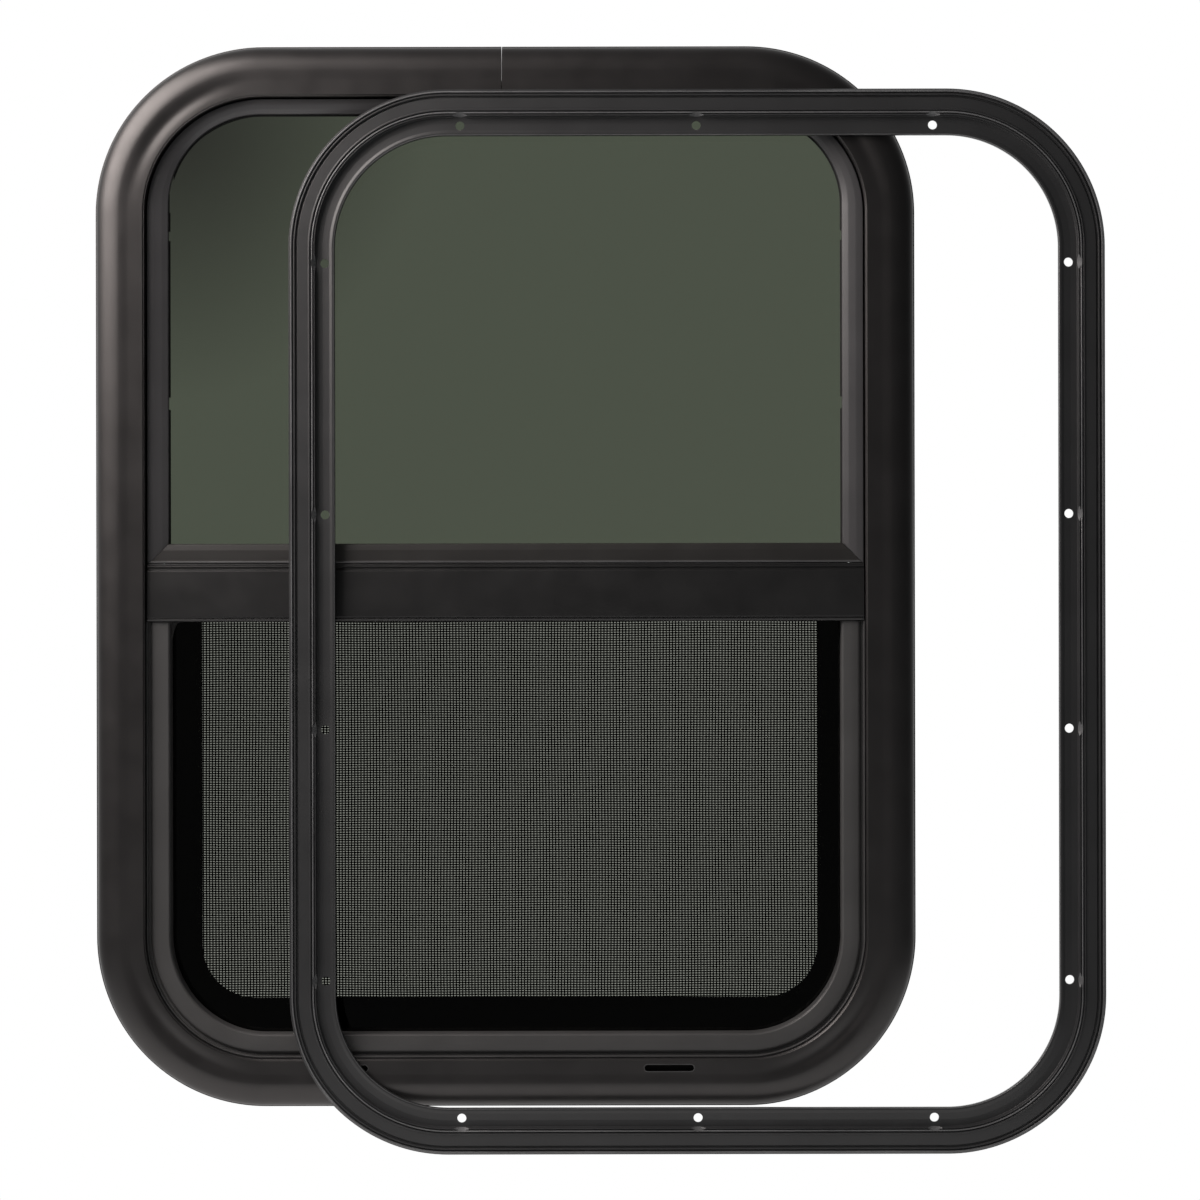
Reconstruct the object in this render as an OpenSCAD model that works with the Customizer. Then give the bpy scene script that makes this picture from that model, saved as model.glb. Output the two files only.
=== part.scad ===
// Caravan window with round corners: a fixed tinted pane above, a sliding pane with an
// insect screen below, and the clamp ring that pulls the frame against the wall from inside.
// The window is drawn lying flat, seen from outside, with +Z towards the viewer and z = 0 at
// the back of the flange, and is then stood up so that the viewer looks along +Y.

/* [Frame] */
// Width over the flange
frame_w = 474; // [420:1:640]
// Height over the flange
frame_h = 613; // [540:1:800]
// Radius of the flange's outer corners
frame_r = 94.5; // [90:0.5:110]
// Width of the flange, from its rim to the groove beside the panes
flange_w = 29; // [27:0.5:34]
// Height of the flange's rim
rim_h = 2.2; // [1.6:0.1:3]
// Height of the flange at its crown
crown_h = 11; // [9:0.5:14]
// Distance from the rim to the crown
crown_in = 19; // [15:0.5:22]
// Height of the flange at its inner edge
inner_edge_h = 10; // [7:0.1:12]
// Wall of the extrusion
frame_wall = 1.6; // [1.2:0.1:2]
// How far the flange laps over the wall of the caravan
wall_lap = 19; // [16:0.5:20]
// Reach of the neck through the wall
neck_depth = 35; // [31:1:60]
// Width of the slot that the ring's screws bite into
screw_slot_w = 2.2; // [1.6:0.1:3]
// Depth of the screw slot
screw_slot_d = 10; // [6:0.5:11]
// Gap of the butt joint at the top of the frame
joint_gap = 0.2; // [0.1:0.05:0.4]
// Sideways place of the butt joint
joint_x = -1.7; // [-20:0.1:20]

/* [Legs behind the panes] */
// Depth of the glazing leg's front face below the back of the flange
leg_depth = 8; // [7:0.5:10]
// How far the glazing leg reaches in from the rim
leg_in = 38; // [36:0.1:41]
// Thickness of the legs
leg_t = 1.6; // [1.2:0.1:2]
// Height of the slot between the two legs, in which the sash slides
sash_slot_h = 7; // [6.6:0.1:9]
// How far the rear leg reaches in from the rim
rear_leg_in = 40; // [36:0.5:41]

/* [Weep slots] */
// Length of a weep slot
weep_l = 28.5; // [10:0.5:40]
// Height of a weep slot
weep_h = 3.9; // [2:0.1:6]
// Distance of each weep slot from the middle
weep_x = 94; // [40:1:120]
// Distance of the weep slots from the rim
weep_in = 21; // [18:0.5:24]

/* [Fixed pane] */
// Distance of the clear glass from the rim at the sides
clear_side_in = 42.9; // [42.7:0.1:45]
// Distance of the clear glass from the rim at the top
clear_top_in = 38.3; // [37:0.1:42]
// Radius of the clear glass at the top corners
clear_r = 52.8; // [46:0.1:58]
// Thickness of each glass pane
glass_t = 4; // [3:0.5:5]
// How far the fixed pane lies in from the rim
pane_in = 33; // [31:0.5:35]
// Width of the dark groove between the flange and the beads
groove_w = 1.5; // [1:0.1:2]
// Height of the beads above the back of the flange
bead_h = 4.6; // [3:0.1:6]
// Bevel on the beads' edges
bead_bevel = 0.9; // [0.4:0.1:1.4]
// Width of the gasket that shows between a bead and the glass
gasket_w = 0.9; // [0.6:0.1:1.2]
// Height of the horizontal bead
sill_bead_h = 11.3; // [9:0.1:14]

/* [Meeting rail] */
// Height of the rail's top edge above the middle of the window
rail_top = 6.5; // [-60:0.5:60]
// Height of the rail
rail_h = 33.6; // [30:0.2:44]
// Height of the ledge along the rail's top
ledge_h = 4; // [3:0.1:6]
// How far the ledge is set back
ledge_back = 1.5; // [0.8:0.1:2.5]
// Height of the rail's face above the back of the flange
rail_face = 6.4; // [5:0.1:8]
// Width of each fine line along the rail
line_w = 0.7; // [0.4:0.1:1]
// Depth of each fine line
line_d = 0.6; // [0.3:0.1:0.9]
// Wall of the rail
rail_wall = 1.6; // [1.2:0.1:2]
// How far the rail's rear leg stands up behind the fixed pane
rail_leg = 9.5; // [6:0.5:12]

/* [Sash] */
// Distance from the rim to where the surround ends and the sash shows
surround_in = 42.4; // [41:0.1:46]
// Thickness of the surround's inner edge
surround_toe = 1.9; // [1.2:0.1:2.4]
// Distance of the sliding pane's edge from the rim
sash_in = 31.6; // [31:0.1:32.5]
// Height of the sliding pane's top edge above the rail's bottom edge
sash_rise = 30; // [24:1:31]
// Running clearance in front of and behind the sliding pane
sash_clear = 0.3; // [0.2:0.05:0.4]
// Thickness of a track's base
track_base = 1.6; // [1.2:0.1:2]
// Height of the track's lips along the glass
track_lip = 7; // [5:0.5:8]
// Height of the pull rail on the sash's top edge
pull_h = 15; // [12:0.5:17]
// Depth of the finger lip behind the pull rail
pull_lip = 9; // [6:0.5:14]
// Width of the latch
latch_w = 46; // [30:1:70]

/* [Screen] */
// Distance from the rim to the inner edge of the screen's frame
screen_in = 55.5; // [54:0.5:60]
// Width of the box of the screen's frame
screen_bar = 12; // [10:0.5:14]
// Depth of the box of the screen's frame
screen_depth = 7.4; // [6:0.2:10]
// How far the screen's thin fin laps over the rear leg
fin_lap = 5.5; // [3:0.5:7]
// Thickness of the fin
fin_t = 1.4; // [1:0.1:2]
// Height of the screen's bar behind the meeting rail
screen_top_bar = 12; // [10:0.5:14]
// Distance of the screen's top edge below the rail's top
screen_drop = 20.5; // [19:0.5:24]
// Width of the groove that holds the mesh
spline_w = 3; // [2.4:0.2:4]
// Depth of that groove
spline_d = 3.2; // [2.4:0.2:4]
// Thickness of the mesh
mesh_t = 0.5; // [0.4:0.1:0.8]
// Distance of the spline's groove from the inner edge of the screen's frame
spline_edge = 3; // [2:0.2:4]
// Distance of each lift tab from the middle
tab_x = 82; // [40:1:120]

/* [Clamp ring] */
// Width of the ring
ring_w = 469.5; // [400:0.5:640]
// Height of the ring
ring_h = 612.5; // [500:0.5:800]
// Radius of the ring's outer corners
ring_r = 91; // [60:0.5:110]
// Width of the ring's section
ring_band = 26.5; // [25:0.5:32]
// Thickness of the ring at its rim
ring_t = 6.2; // [5:0.1:9]
// Wall of the ring
ring_wall = 1.4; // [1.1:0.1:2]
// Width of the ring's raised part
ring_face_w = 15.4; // [14:0.1:17]
// Height of the lip's front face above the ring's back
lip_h = 2.6; // [2:0.1:3.4]
// Height of the ribs above the ring's face
rib_h = 0.8; // [0.4:0.1:1.2]
// Sideways place of the ring beside the window
ring_x = 110.5; // [0:0.5:300]
// Height of the ring's middle against the window's
ring_z = -27.4; // [-200:0.1:100]
// Clearance between the ring's back and the crown of the flange
ring_clear = 0.3; // [0.2:0.1:40]
// Radius of the screw holes
hole_r = 2.6; // [2:0.1:3]
// Distance of the screw holes from the ring's rim
hole_in = 20.7; // [19.5:0.1:23]
// Radius of the round notch that clears each screw's head
head_r = 5.9; // [5.6:0.1:6.4]
// Distance of the upper and lower side holes from the middle
side_far = 206.5; // [150:0.5:210]
// Distance of the middle side holes from the middle
side_near = 61.8; // [30:0.1:120]
// Distance of the outer top and bottom holes from the middle
end_far = 136; // [60:0.5:140]

/* [Fits] */
// Clearance where pieces are fitted without being fastened to each other
fit = 0.2; // [0.1:0.05:0.3]

/* [Hidden] */
$fn = 96;
quarter = 90;
skin = 1;

// Heights of the layers, from the viewer's side to the room's
leg_front = -leg_depth;
leg_back = leg_front - leg_t;
rear_front = leg_back - sash_slot_h;
rear_back = rear_front - leg_t;
neck_back = -neck_depth;
pane_front = -2;
pane_back = pane_front - glass_t;
block_h = 1.5;
sash_front = leg_back - (sash_slot_h - glass_t) / 2;
sash_back = sash_front - glass_t;
fin_back = rear_back - fin_t;
screen_back = rear_back - screen_depth;

// The flange's inner wall, and the edge that beads and surround line up with
inner_wall = flange_w - frame_wall;
bead_in = flange_w + groove_w;

// Levels of the upright view, measured from the middle of the window
half_w = frame_w / 2;
half_h = frame_h / 2;
rail_bottom = rail_top - rail_h;
sill_bottom = rail_top + fit;
sill_top = sill_bottom + sill_bead_h;
sash_top = rail_bottom + sash_rise;
screen_top = rail_top - screen_drop;
spline_in = screen_in - spline_w - spline_edge;
spline_level = screen_top - screen_top_bar + spline_edge;

// Points of a quarter ellipse from the rim up to the crown, then on to the inner edge
function dome(inset, steps) = [
  for (i = [0:steps])
    let (a = quarter * i / steps)
      [crown_in - (crown_in - inset) * cos(a), rim_h + (crown_h - inset - rim_h) * sin(a)]
];
// Points of the flange's inner slope, a parabola from the crown down to the inner edge
function slope(inset, reach, steps) = [
  for (i = [1:steps])
    let (t = i / steps)
      [crown_in + (reach - crown_in) * t, crown_h - inset - (crown_h - inner_edge_h) * t * t]
];
// Points of a round corner of a profile, from angle a to angle b about a centre
function arc(cx, cy, rx, ry, a, b, steps) = [
  for (i = [0:steps]) let (t = a + (b - a) * i / steps) [cx + rx * cos(t), cy + ry * sin(t)]
];

// A straight length of the profile along side number i of a rounded rectangle
module side_run(w, h, r, i) {
  odd = i % 2 == 1;
  run = (odd ? w : h) - 2 * r;
  rotate(quarter * i)
    translate([(odd ? h : w) / 2, run / 2, 0])
      rotate([quarter, 0, 0])
        linear_extrude(run)
          mirror([1, 0]) children();
}

// The bend of the profile that follows side number i
module corner_bend(w, h, r, i) {
  odd = i % 2 == 1;
  rotate(quarter * i)
    translate([(odd ? h : w) / 2 - r, (odd ? w : h) / 2 - r, 0])
      rotate_extrude(angle = quarter)
        translate([r, 0]) mirror([1, 0]) children();
}

// The profile carried round a rounded rectangle: its straight "runs", its "bends" or the whole "ring"
module swept_part(w, h, r, part) {
  for (i = [0:3]) {
    if (part != "bends") side_run(w, h, r, i) children();
    if (part != "runs") corner_bend(w, h, r, i) children();
  }
}

module swept_ring(w, h, r) {
  swept_part(w, h, r, "ring") children();
}

// The profile carried up from the level z_low, over the two top corners and down again
module swept_arch(w, h, r, z_low) {
  difference() {
    swept_ring(w, h, r) children();
    translate([0, z_low - h, 0]) cube([w * 2, h * 2, h], center = true);
  }
}

// The profile carried down from the level z_high, round the two lower corners and up again
module swept_trough(w, h, r, z_high) {
  mirror([0, 1, 0]) swept_arch(w, h, r, -z_high) children();
}

// Outline with its own corner radii at the top and at the bottom
module outline(w, top, bottom, r_top, r_bottom) {
  difference() {
    translate([-w / 2, bottom]) square([w, top - bottom]);
    for (s = [-1, 1]) {
      if (r_top > 0) corner_cut(s * w / 2, top, s, 1, r_top);
      if (r_bottom > 0) corner_cut(s * w / 2, bottom, s, -1, r_bottom);
    }
  }
}

// What is taken off a square corner to leave it round
module corner_cut(x, y, sx, sy, r) {
  translate([x, y]) scale([sx, sy]) difference() {
    translate([-r, -r]) square(r + skin);
    translate([-r, -r]) circle(r);
  }
}

// A flat sheet of that outline between two heights
module sheet(w, top, bottom, r_top, r_bottom, back, front) {
  translate([0, 0, back]) linear_extrude(front - back) outline(w, top, bottom, r_top, r_bottom);
}

// Stands the window up: its front turns to -Y and its top to +Z
module upright() {
  rotate([quarter, 0, 0]) children();
}

// Section of the frame: flange, neck with its screw slot, and the two legs
module frame_section() {
  slot_left = (wall_lap + inner_wall) / 2 - screw_slot_w / 2;
  slot_right = slot_left + screw_slot_w;
  slot_floor = neck_back + screw_slot_d;
  bridge = slot_floor + frame_wall;
  round = 0.8;
  difference() {
    polygon(concat(
      [[0, 0]],
      dome(0, 12),
      slope(0, flange_w - round, 4),
      [[flange_w, inner_edge_h - round]],
      [
        [flange_w, leg_front], [leg_in, leg_front], [leg_in, leg_back], [flange_w, leg_back],
        [flange_w, rear_front], [rear_leg_in, rear_front], [rear_leg_in, rear_back],
        [inner_wall, rear_back], [inner_wall, neck_back], [slot_right, neck_back],
        [slot_right, slot_floor], [slot_left, slot_floor], [slot_left, neck_back],
        [wall_lap, neck_back], [wall_lap, 0],
      ]
    ));
    polygon(concat(
      [[frame_wall, frame_wall]],
      dome(frame_wall, 8),
      slope(frame_wall, inner_wall, 2),
      [
        [inner_wall, rear_front], [inner_wall - round, bridge],
        [wall_lap + frame_wall, bridge], [wall_lap + frame_wall, frame_wall],
      ]
    ));
  }
}

// A slot with round ends, cut forwards from height z0 to z1
module round_slot(length, height, z0, z1) {
  reach = (length - height) / 2;
  translate([-reach, -height / 2, z0]) cube([2 * reach, height, z1 - z0]);
  for (s = [-1, 1]) translate([s * reach, 0, z0]) cylinder(d = height, h = z1 - z0);
}

// Part of the frame's section between two distances from the rim and two heights
module section_window(in_from, in_to, low, high) {
  intersection() {
    frame_section();
    translate([in_from, low]) square([in_to - in_from, high - low]);
  }
}

// The flange without the neck, whose walls reach up into it by one wall
module flange_section() {
  difference() {
    frame_section();
    translate([wall_lap, neck_back - skin]) square([leg_in, frame_wall - neck_back + skin]);
  }
}

// A slice of the bent extrusion, parted at the butt joint and at what the second child cuts.
// The frame is a single extrusion. It is drawn as slices that meet face to face.
module frame_slice(part) {
  color("#26272a") upright() difference() {
    swept_part(frame_w, frame_h, frame_r, part) children(0);
    translate([joint_x - joint_gap / 2, half_h - leg_in - frame_r, neck_back - skin])
      cube([joint_gap, leg_in + frame_r + skin, neck_depth + crown_h + 2 * skin]);
    if ($children > 1) children(1);
  }
}

// Domed flange that laps over the wall, with the weep slots in its lower run
module outer_frame_flange() {
  frame_slice("ring") {
    flange_section();
    for (s = [-1, 1])
      translate([s * weep_x, weep_in - half_h, 0]) round_slot(weep_l, weep_h, frame_wall * 2, crown_h + skin);
  }
}

// Neck that reaches through the wall, with the slot for the ring's screws
module outer_frame_neck() {
  frame_slice("ring") section_window(wall_lap, flange_w, neck_back, frame_wall);
}

// Leg that the fixed pane is bedded on
module outer_frame_glazing_leg_runs() {
  frame_slice("runs") section_window(flange_w, leg_in, leg_back, leg_front);
}

module outer_frame_glazing_leg_bends() {
  frame_slice("bends") section_window(flange_w, leg_in, leg_back, leg_front);
}

// Leg on the room side of the sliding pane
module outer_frame_rear_leg() {
  frame_slice("ring") section_window(flange_w, rear_leg_in, rear_back, rear_front);
}

// Plate that holds the two ends of the bent extrusion together, on the room side of the neck
module frame_splice_plate() {
  plate_l = 44;
  plate_t = 1.6;
  plate_d = 12;
  rivet_r = 2.2;
  rivet_x = 14;
  top = half_h - inner_wall;
  low = neck_back + fit;
  color("#8d9094") upright() {
    translate([joint_x - plate_l / 2, top - plate_t, low]) cube([plate_l, plate_t, plate_d]);
    for (s = [-1, 1])
      translate([joint_x + s * rivet_x, top - plate_t, low + plate_d / 2])
        rotate([quarter, 0, 0]) cylinder(r = rivet_r, h = 1);
  }
}

module fixed_glass() {
  pane_r = frame_r - pane_in;
  color("#39403a", 0.7) upright()
    sheet(frame_w - 2 * pane_in, half_h - pane_in, sill_bottom + block_h, pane_r, 0, pane_back, pane_front);
}

// Foam tape between the fixed pane and the legs behind it
module fixed_glass_seal() {
  tape_out = pane_in + 1;
  tape_in = leg_in - 1;
  tape_low = sill_bottom + block_h + 1;
  bar = 6;
  color("#141516") upright() difference() {
    sheet(frame_w - 2 * tape_out, half_h - tape_out, tape_low, frame_r - tape_out, 0, leg_front, pane_back);
    sheet(
      frame_w - 2 * tape_in, half_h - tape_in, tape_low + bar, frame_r - tape_in, 0,
      leg_front - skin, pane_back + skin
    );
  }
}

// Two rubber blocks on the rail's shelf that carry the fixed pane
module setting_blocks() {
  block_l = 40;
  block_x = 120;
  color("#1b1c1d") upright()
    for (s = [-1, 1])
      translate([s * block_x - block_l / 2, rail_top, pane_back]) cube([block_l, fit + block_h, glass_t]);
}

// Opening of the beads round the clear glass, grown by g
module bead_opening(g, back, front) {
  in = clear_side_in - gasket_w;
  top = half_h - (clear_top_in - gasket_w);
  sheet(
    frame_w - 2 * in + 2 * g, top + g, sill_top - g,
    clear_r + gasket_w + g, 0, back, front
  );
}

// The whole bead round the fixed pane, before it is cut into arch and sill at the mitres
module bead_blank() {
  snap_t = 1.4;
  snap_in = bead_in + snap_t;
  difference() {
    union() {
      difference() {
        sheet(frame_w - 2 * bead_in, half_h - bead_in, sill_top, frame_r - bead_in, 0, leg_front, pane_front);
        sheet(
          frame_w - 2 * snap_in, half_h - snap_in, rail_bottom, frame_r - snap_in, 0,
          leg_front - skin, pane_front + skin
        );
      }
      sheet(frame_w - 2 * bead_in, half_h - bead_in, sill_bottom, frame_r - bead_in, 0, pane_front, bead_h - bead_bevel);
      sheet(
        frame_w - 2 * (bead_in + bead_bevel), half_h - bead_in - bead_bevel, sill_bottom + bead_bevel,
        frame_r - bead_in - bead_bevel, 0, bead_h - bead_bevel, bead_h
      );
    }
    bead_opening(0, pane_front - skin, bead_h + skin);
    bead_opening(bead_bevel, bead_h - bead_bevel, bead_h + skin);
  }
}

// Wedge below the two 45 degree mitres at the lower corners of the clear glass
module mitre_wedge(grow) {
  low = sill_bottom - skin;
  rise = sill_top - low;
  half = half_w - clear_side_in + gasket_w;
  translate([0, 0, pane_front - skin]) linear_extrude(bead_h - pane_front + 2 * skin)
    polygon([
      [-half - rise, low - grow], [half + rise, low - grow],
      [half, sill_top - grow], [half, sill_top + skin], [-half, sill_top + skin], [-half, sill_top - grow],
    ]);
}

module glazing_bead_arch() {
  color("#2c2d2f") upright() difference() {
    bead_blank();
    mitre_wedge(0);
  }
}

module glazing_bead_sill() {
  color("#303031") upright() intersection() {
    bead_blank();
    mitre_wedge(fit);
  }
}

// Rubber lip that shows as a dark line round the clear glass
module glazing_gasket() {
  color("#0d0e0e") upright() difference() {
    bead_opening(0, pane_front, pane_front + 1.2);
    sheet(
      frame_w - 2 * clear_side_in, half_h - clear_top_in, sill_top + gasket_w, clear_r, 0,
      pane_front - skin, pane_front + skin + 1.2
    );
  }
}

// Section of the meeting rail, with x up the window and y towards the viewer
module rail_section() {
  shelf = rail_top - rail_wall;
  lip = 3.2;
  difference() {
    polygon([
      [rail_bottom, leg_back], [rail_bottom, rail_face - 1.2], [rail_bottom + 1.2, rail_face],
      [rail_top - ledge_h, rail_face], [rail_top - ledge_h, rail_face - ledge_back],
      [rail_top - 0.6, rail_face - ledge_back], [rail_top, rail_face - ledge_back - 0.6],
      [rail_top, leg_front - fit], [rail_top + rail_leg, leg_front - fit], [rail_top + rail_leg, leg_back],
    ]);
    translate([rail_bottom + rail_wall, leg_back + rail_wall])
      square([rail_h - 2 * rail_wall, rail_face - ledge_back - leg_back - 2 * rail_wall]);
    for (x = [rail_bottom + lip, rail_top - ledge_h - line_w * 2, rail_top - ledge_h + line_w * 2])
      translate([x, rail_face - line_d - (x > rail_top - ledge_h ? ledge_back : 0)]) square([line_w, line_d + skin]);
  }
}

module meeting_rail() {
  length = frame_w - 2 * (flange_w + fit);
  notch = half_w - leg_in - fit;
  color("#2a2b2d") upright() difference() {
    translate([-length / 2, 0, 0]) rotate([quarter, 0, quarter]) linear_extrude(length) rail_section();
    for (s = [-1, 1])
      translate([s * (notch + frame_w / 2), rail_top - rail_h / 2, leg_back - skin])
        cube([frame_w, frame_h / 2, 2 * (leg_t + skin + fit)], center = true);
  }
}

// Brush strip between the rail and the sliding pane
module rail_pile_strip() {
  strip_h = 5;
  strip_l = 2 * (half_w - leg_in) - 6;
  color("#151617") upright()
    translate([-strip_l / 2, rail_bottom + 3, sash_front + sash_clear])
      cube([strip_l, strip_h, leg_back - sash_front - sash_clear]);
}

// Section of the surround: a fine raised edge, a groove and a convex band down to the sash
module surround_section() {
  edge_w = 1;
  edge_h = 4.6;
  band_in = bead_in + edge_w + 0.8;
  groove_h = 2.4;
  toe_top = leg_front + surround_toe;
  step = 1.8;
  polygon(concat(
    [[bead_in - 0.6, leg_front], [bead_in - 0.6, edge_h], [bead_in - 0.6 + edge_w, edge_h]],
    [[bead_in - 0.6 + edge_w, groove_h], [band_in, groove_h]],
    arc(band_in, toe_top, surround_in - step - band_in, groove_h + 1 - toe_top, quarter, 0, 9),
    [[surround_in, toe_top], [surround_in, leg_front]]
  ));
}

// The surround in one piece, its straight "runs" and its "bends" as nodes that meet face to face
module sash_surround(part) {
  z_high = rail_bottom - fit;
  color("#2e2f31") upright() difference() {
    swept_part(frame_w, frame_h, frame_r, part) surround_section();
    translate([0, z_high + frame_h, 0]) cube([frame_w * 2, frame_h * 2, frame_h], center = true);
  }
}

module sash_surround_runs() {
  sash_surround("runs");
}

module sash_surround_bends() {
  sash_surround("bends");
}

module sash_glass() {
  color("#2b322d", 0.7) upright()
    sheet(frame_w - 2 * sash_in, sash_top, sash_in - half_h, 0, frame_r - sash_in, sash_back, sash_front);
}

// Section of a track: a base on the frame's inner wall, with a lip before and behind the pane
module track_section() {
  front_lip = leg_back - fit / 2;
  rear_lip = rear_front + fit / 2;
  translate([flange_w, rear_lip]) square([track_base, front_lip - rear_lip]);
  translate([flange_w, sash_front + sash_clear]) square([track_lip, front_lip - sash_front - sash_clear]);
  translate([flange_w, rear_lip]) square([track_lip, sash_back - sash_clear - rear_lip]);
}

module sash_track(i) {
  color("#17181a") upright() side_run(frame_w, frame_h, frame_r, i) track_section();
}

module sash_track_left() {
  sash_track(2);
}

module sash_track_right() {
  sash_track(0);
}

// Soft seal under the sliding pane, along the lower straight of the frame
module sash_bulb_seal() {
  color("#101112") upright() side_run(frame_w, frame_h, frame_r, 3)
    translate([flange_w, rear_front + fit])
      square([sash_in - sash_clear - flange_w, sash_slot_h - 2 * fit]);
}

// Channel on the top edge of the sliding pane, with a finger lip towards the room
module sash_pull_rail() {
  length = 2 * (half_w - leg_in) - 4;
  cheek = 1.2;
  low = sash_top - pull_h + 2;
  front = sash_front + cheek;
  rear = sash_back - cheek;
  color("#2a2b2d") upright()
    translate([-length / 2, 0, 0]) rotate([quarter, 0, quarter]) linear_extrude(length)
      difference() {
        polygon([
          [low, rear], [low, front], [sash_top + 2, front], [sash_top + 2, rear - pull_lip],
          [sash_top - 2.5, rear - pull_lip], [sash_top - 2.5, rear - pull_lip + 1.6],
          [sash_top + 0.4, rear - pull_lip + 1.6], [sash_top + 0.4, rear],
        ]);
        translate([low - skin, sash_back]) square([sash_top - low + skin, glass_t]);
      }
}

// Thumb latch on the middle of the pull rail
module sash_latch() {
  rear = sash_back - 1.2;
  body_h = 9;
  body_d = 6;
  knob_r = 3;
  low = sash_top - 11;
  color("#1a1b1c") upright() {
    translate([-latch_w / 2, low, rear - body_d]) cube([latch_w, body_h, body_d]);
    for (s = [-1, 1])
      translate([s * latch_w / 4, low + body_h / 2, rear - body_d - 2]) cylinder(r = knob_r, h = 2);
  }
}

// The side bars and lower bar of the screen: a box, and a thin fin that laps the rear leg
module screen_section() {
  fin_in = rear_leg_in - fin_lap;
  translate([screen_in - screen_bar, screen_back]) square([screen_bar, screen_depth - fit]);
  translate([fin_in, fin_back]) square([screen_in - screen_bar - fin_in + skin, fin_t - fit]);
}

// The groove round the back of the screen's frame, narrowed on each side by play
module spline_loop(play, back, front) {
  cut_w = spline_w - 2 * play;
  swept_trough(frame_w, frame_h, frame_r, spline_level + spline_w - play)
    translate([spline_in + play, back]) square([cut_w, front - back]);
  translate([-half_w + spline_in + play, spline_level + play, back])
    cube([frame_w - 2 * (spline_in + play), cut_w, front - back]);
}

module screen_frame() {
  box_in = screen_in - screen_bar;
  color("#1f2022") upright() difference() {
    union() {
      swept_trough(frame_w, frame_h, frame_r, screen_top) screen_section();
      translate([box_in - half_w, screen_top - screen_top_bar, screen_back])
        cube([frame_w - 2 * box_in, screen_top_bar, screen_depth - fit]);
    }
    spline_loop(0, screen_back - skin, screen_back + spline_d);
  }
}

// Fine mesh, as a thin sheet that lies on the back of the screen's frame
module screen_mesh() {
  edge = spline_in + spline_w;
  color("#333436", 0.6) upright()
    sheet(
      frame_w - 2 * edge, spline_level, edge - half_h, 0, frame_r - edge,
      screen_back - mesh_t, screen_back
    );
}

// Round cord pressed into the groove to hold the mesh
module screen_spline() {
  proud = 0.4;
  color("#0f1010") upright() spline_loop(0.1, screen_back - proud, screen_back + spline_d);
}

// Two tabs on the lower bar of the screen, for lifting it out
module screen_lift_tabs() {
  tab_w = 16;
  tab_h = 5.5;
  tab_d = 6;
  low = screen_in - screen_bar - half_h;
  color("#1a1b1c") upright()
    for (s = [-1, 1])
      translate([s * tab_x - tab_w / 2, low, screen_back - tab_d]) difference() {
        cube([tab_w, tab_h, tab_d]);
        translate([-skin, 2, -skin]) cube([tab_w + 2 * skin, tab_h, tab_d - 1.6 + skin]);
      }
}

// Section of the clamp ring: ribbed rim, flat face, twin rib and a set-back lip for the screws
module ring_section() {
  face = ring_t - rib_h;
  rib_w = 1.5;
  lip_in = ring_band;
  lip_back = lip_h - 1.6;
  difference() {
    polygon([
      [0, 0], [0, face - 0.4], [0.5, ring_t - 0.3], [1.3, ring_t], [1.9, ring_t - 0.4], [2.1, face],
      [2.5, face], [2.7, ring_t - 0.2], [3.6, ring_t], [4.1, ring_t - 0.4],
      [4.3, face - 0.5], [4.9, face - 0.5], [5.1, face], [ring_face_w - 4, face],
      [ring_face_w - 3.7, ring_t], [ring_face_w - 3.7 + rib_w, ring_t],
      [ring_face_w - 2, face + 0.1], [ring_face_w - 1.7, ring_t], [ring_face_w - 0.4, ring_t],
      [ring_face_w, ring_t - 0.5], [ring_face_w + 0.4, lip_h], [lip_in - 1.6, lip_h],
      [lip_in - 1, lip_h + 0.6], [lip_in - 0.3, lip_h + 0.5], [lip_in, lip_h], [lip_in, 0],
      [lip_in - 1.4, 0], [lip_in - 1.4, lip_back], [ring_face_w + 0.4, lip_back], [ring_face_w + 0.4, 0],
    ]);
    translate([ring_wall, -skin]) square([ring_face_w - 1 - 2 * ring_wall, face - ring_wall - 0.5 + skin]);
  }
}

// Places of the screw holes about the ring's middle
function hole_places() = [
  for (s = [-1, 1]) for (z = [-side_far, -side_near, side_near, side_far]) [s * (ring_w / 2 - hole_in), z],
  for (s = [-1, 1]) for (x = [-end_far, 0, end_far]) [x, s * (ring_h / 2 - hole_in)],
];

module trim_ring() {
  color("#2b2c2f") upright() translate([ring_x, ring_z, crown_h + ring_clear]) difference() {
    swept_ring(ring_w, ring_h, ring_r) ring_section();
    for (p = hole_places()) translate([p[0], p[1], -skin]) {
      cylinder(r = hole_r, h = lip_h + 2 * skin);
      translate([0, 0, lip_h + skin]) cylinder(r = head_r, h = ring_t);
    }
  }
}

outer_frame_flange();
outer_frame_neck();
outer_frame_glazing_leg_runs();
outer_frame_glazing_leg_bends();
outer_frame_rear_leg();
frame_splice_plate();
fixed_glass();
fixed_glass_seal();
setting_blocks();
glazing_bead_arch();
glazing_bead_sill();
glazing_gasket();
meeting_rail();
rail_pile_strip();
sash_surround_runs();
sash_surround_bends();
sash_glass();
sash_pull_rail();
sash_latch();
sash_track_left();
sash_track_right();
sash_bulb_seal();
screen_frame();
screen_mesh();
screen_spline();
screen_lift_tabs();
trim_ring();
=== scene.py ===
"""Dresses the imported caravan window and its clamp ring: smooth extrusions, glass, screen and finishes."""

import logging
import math
from dataclasses import dataclass
from enum import Enum

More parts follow.
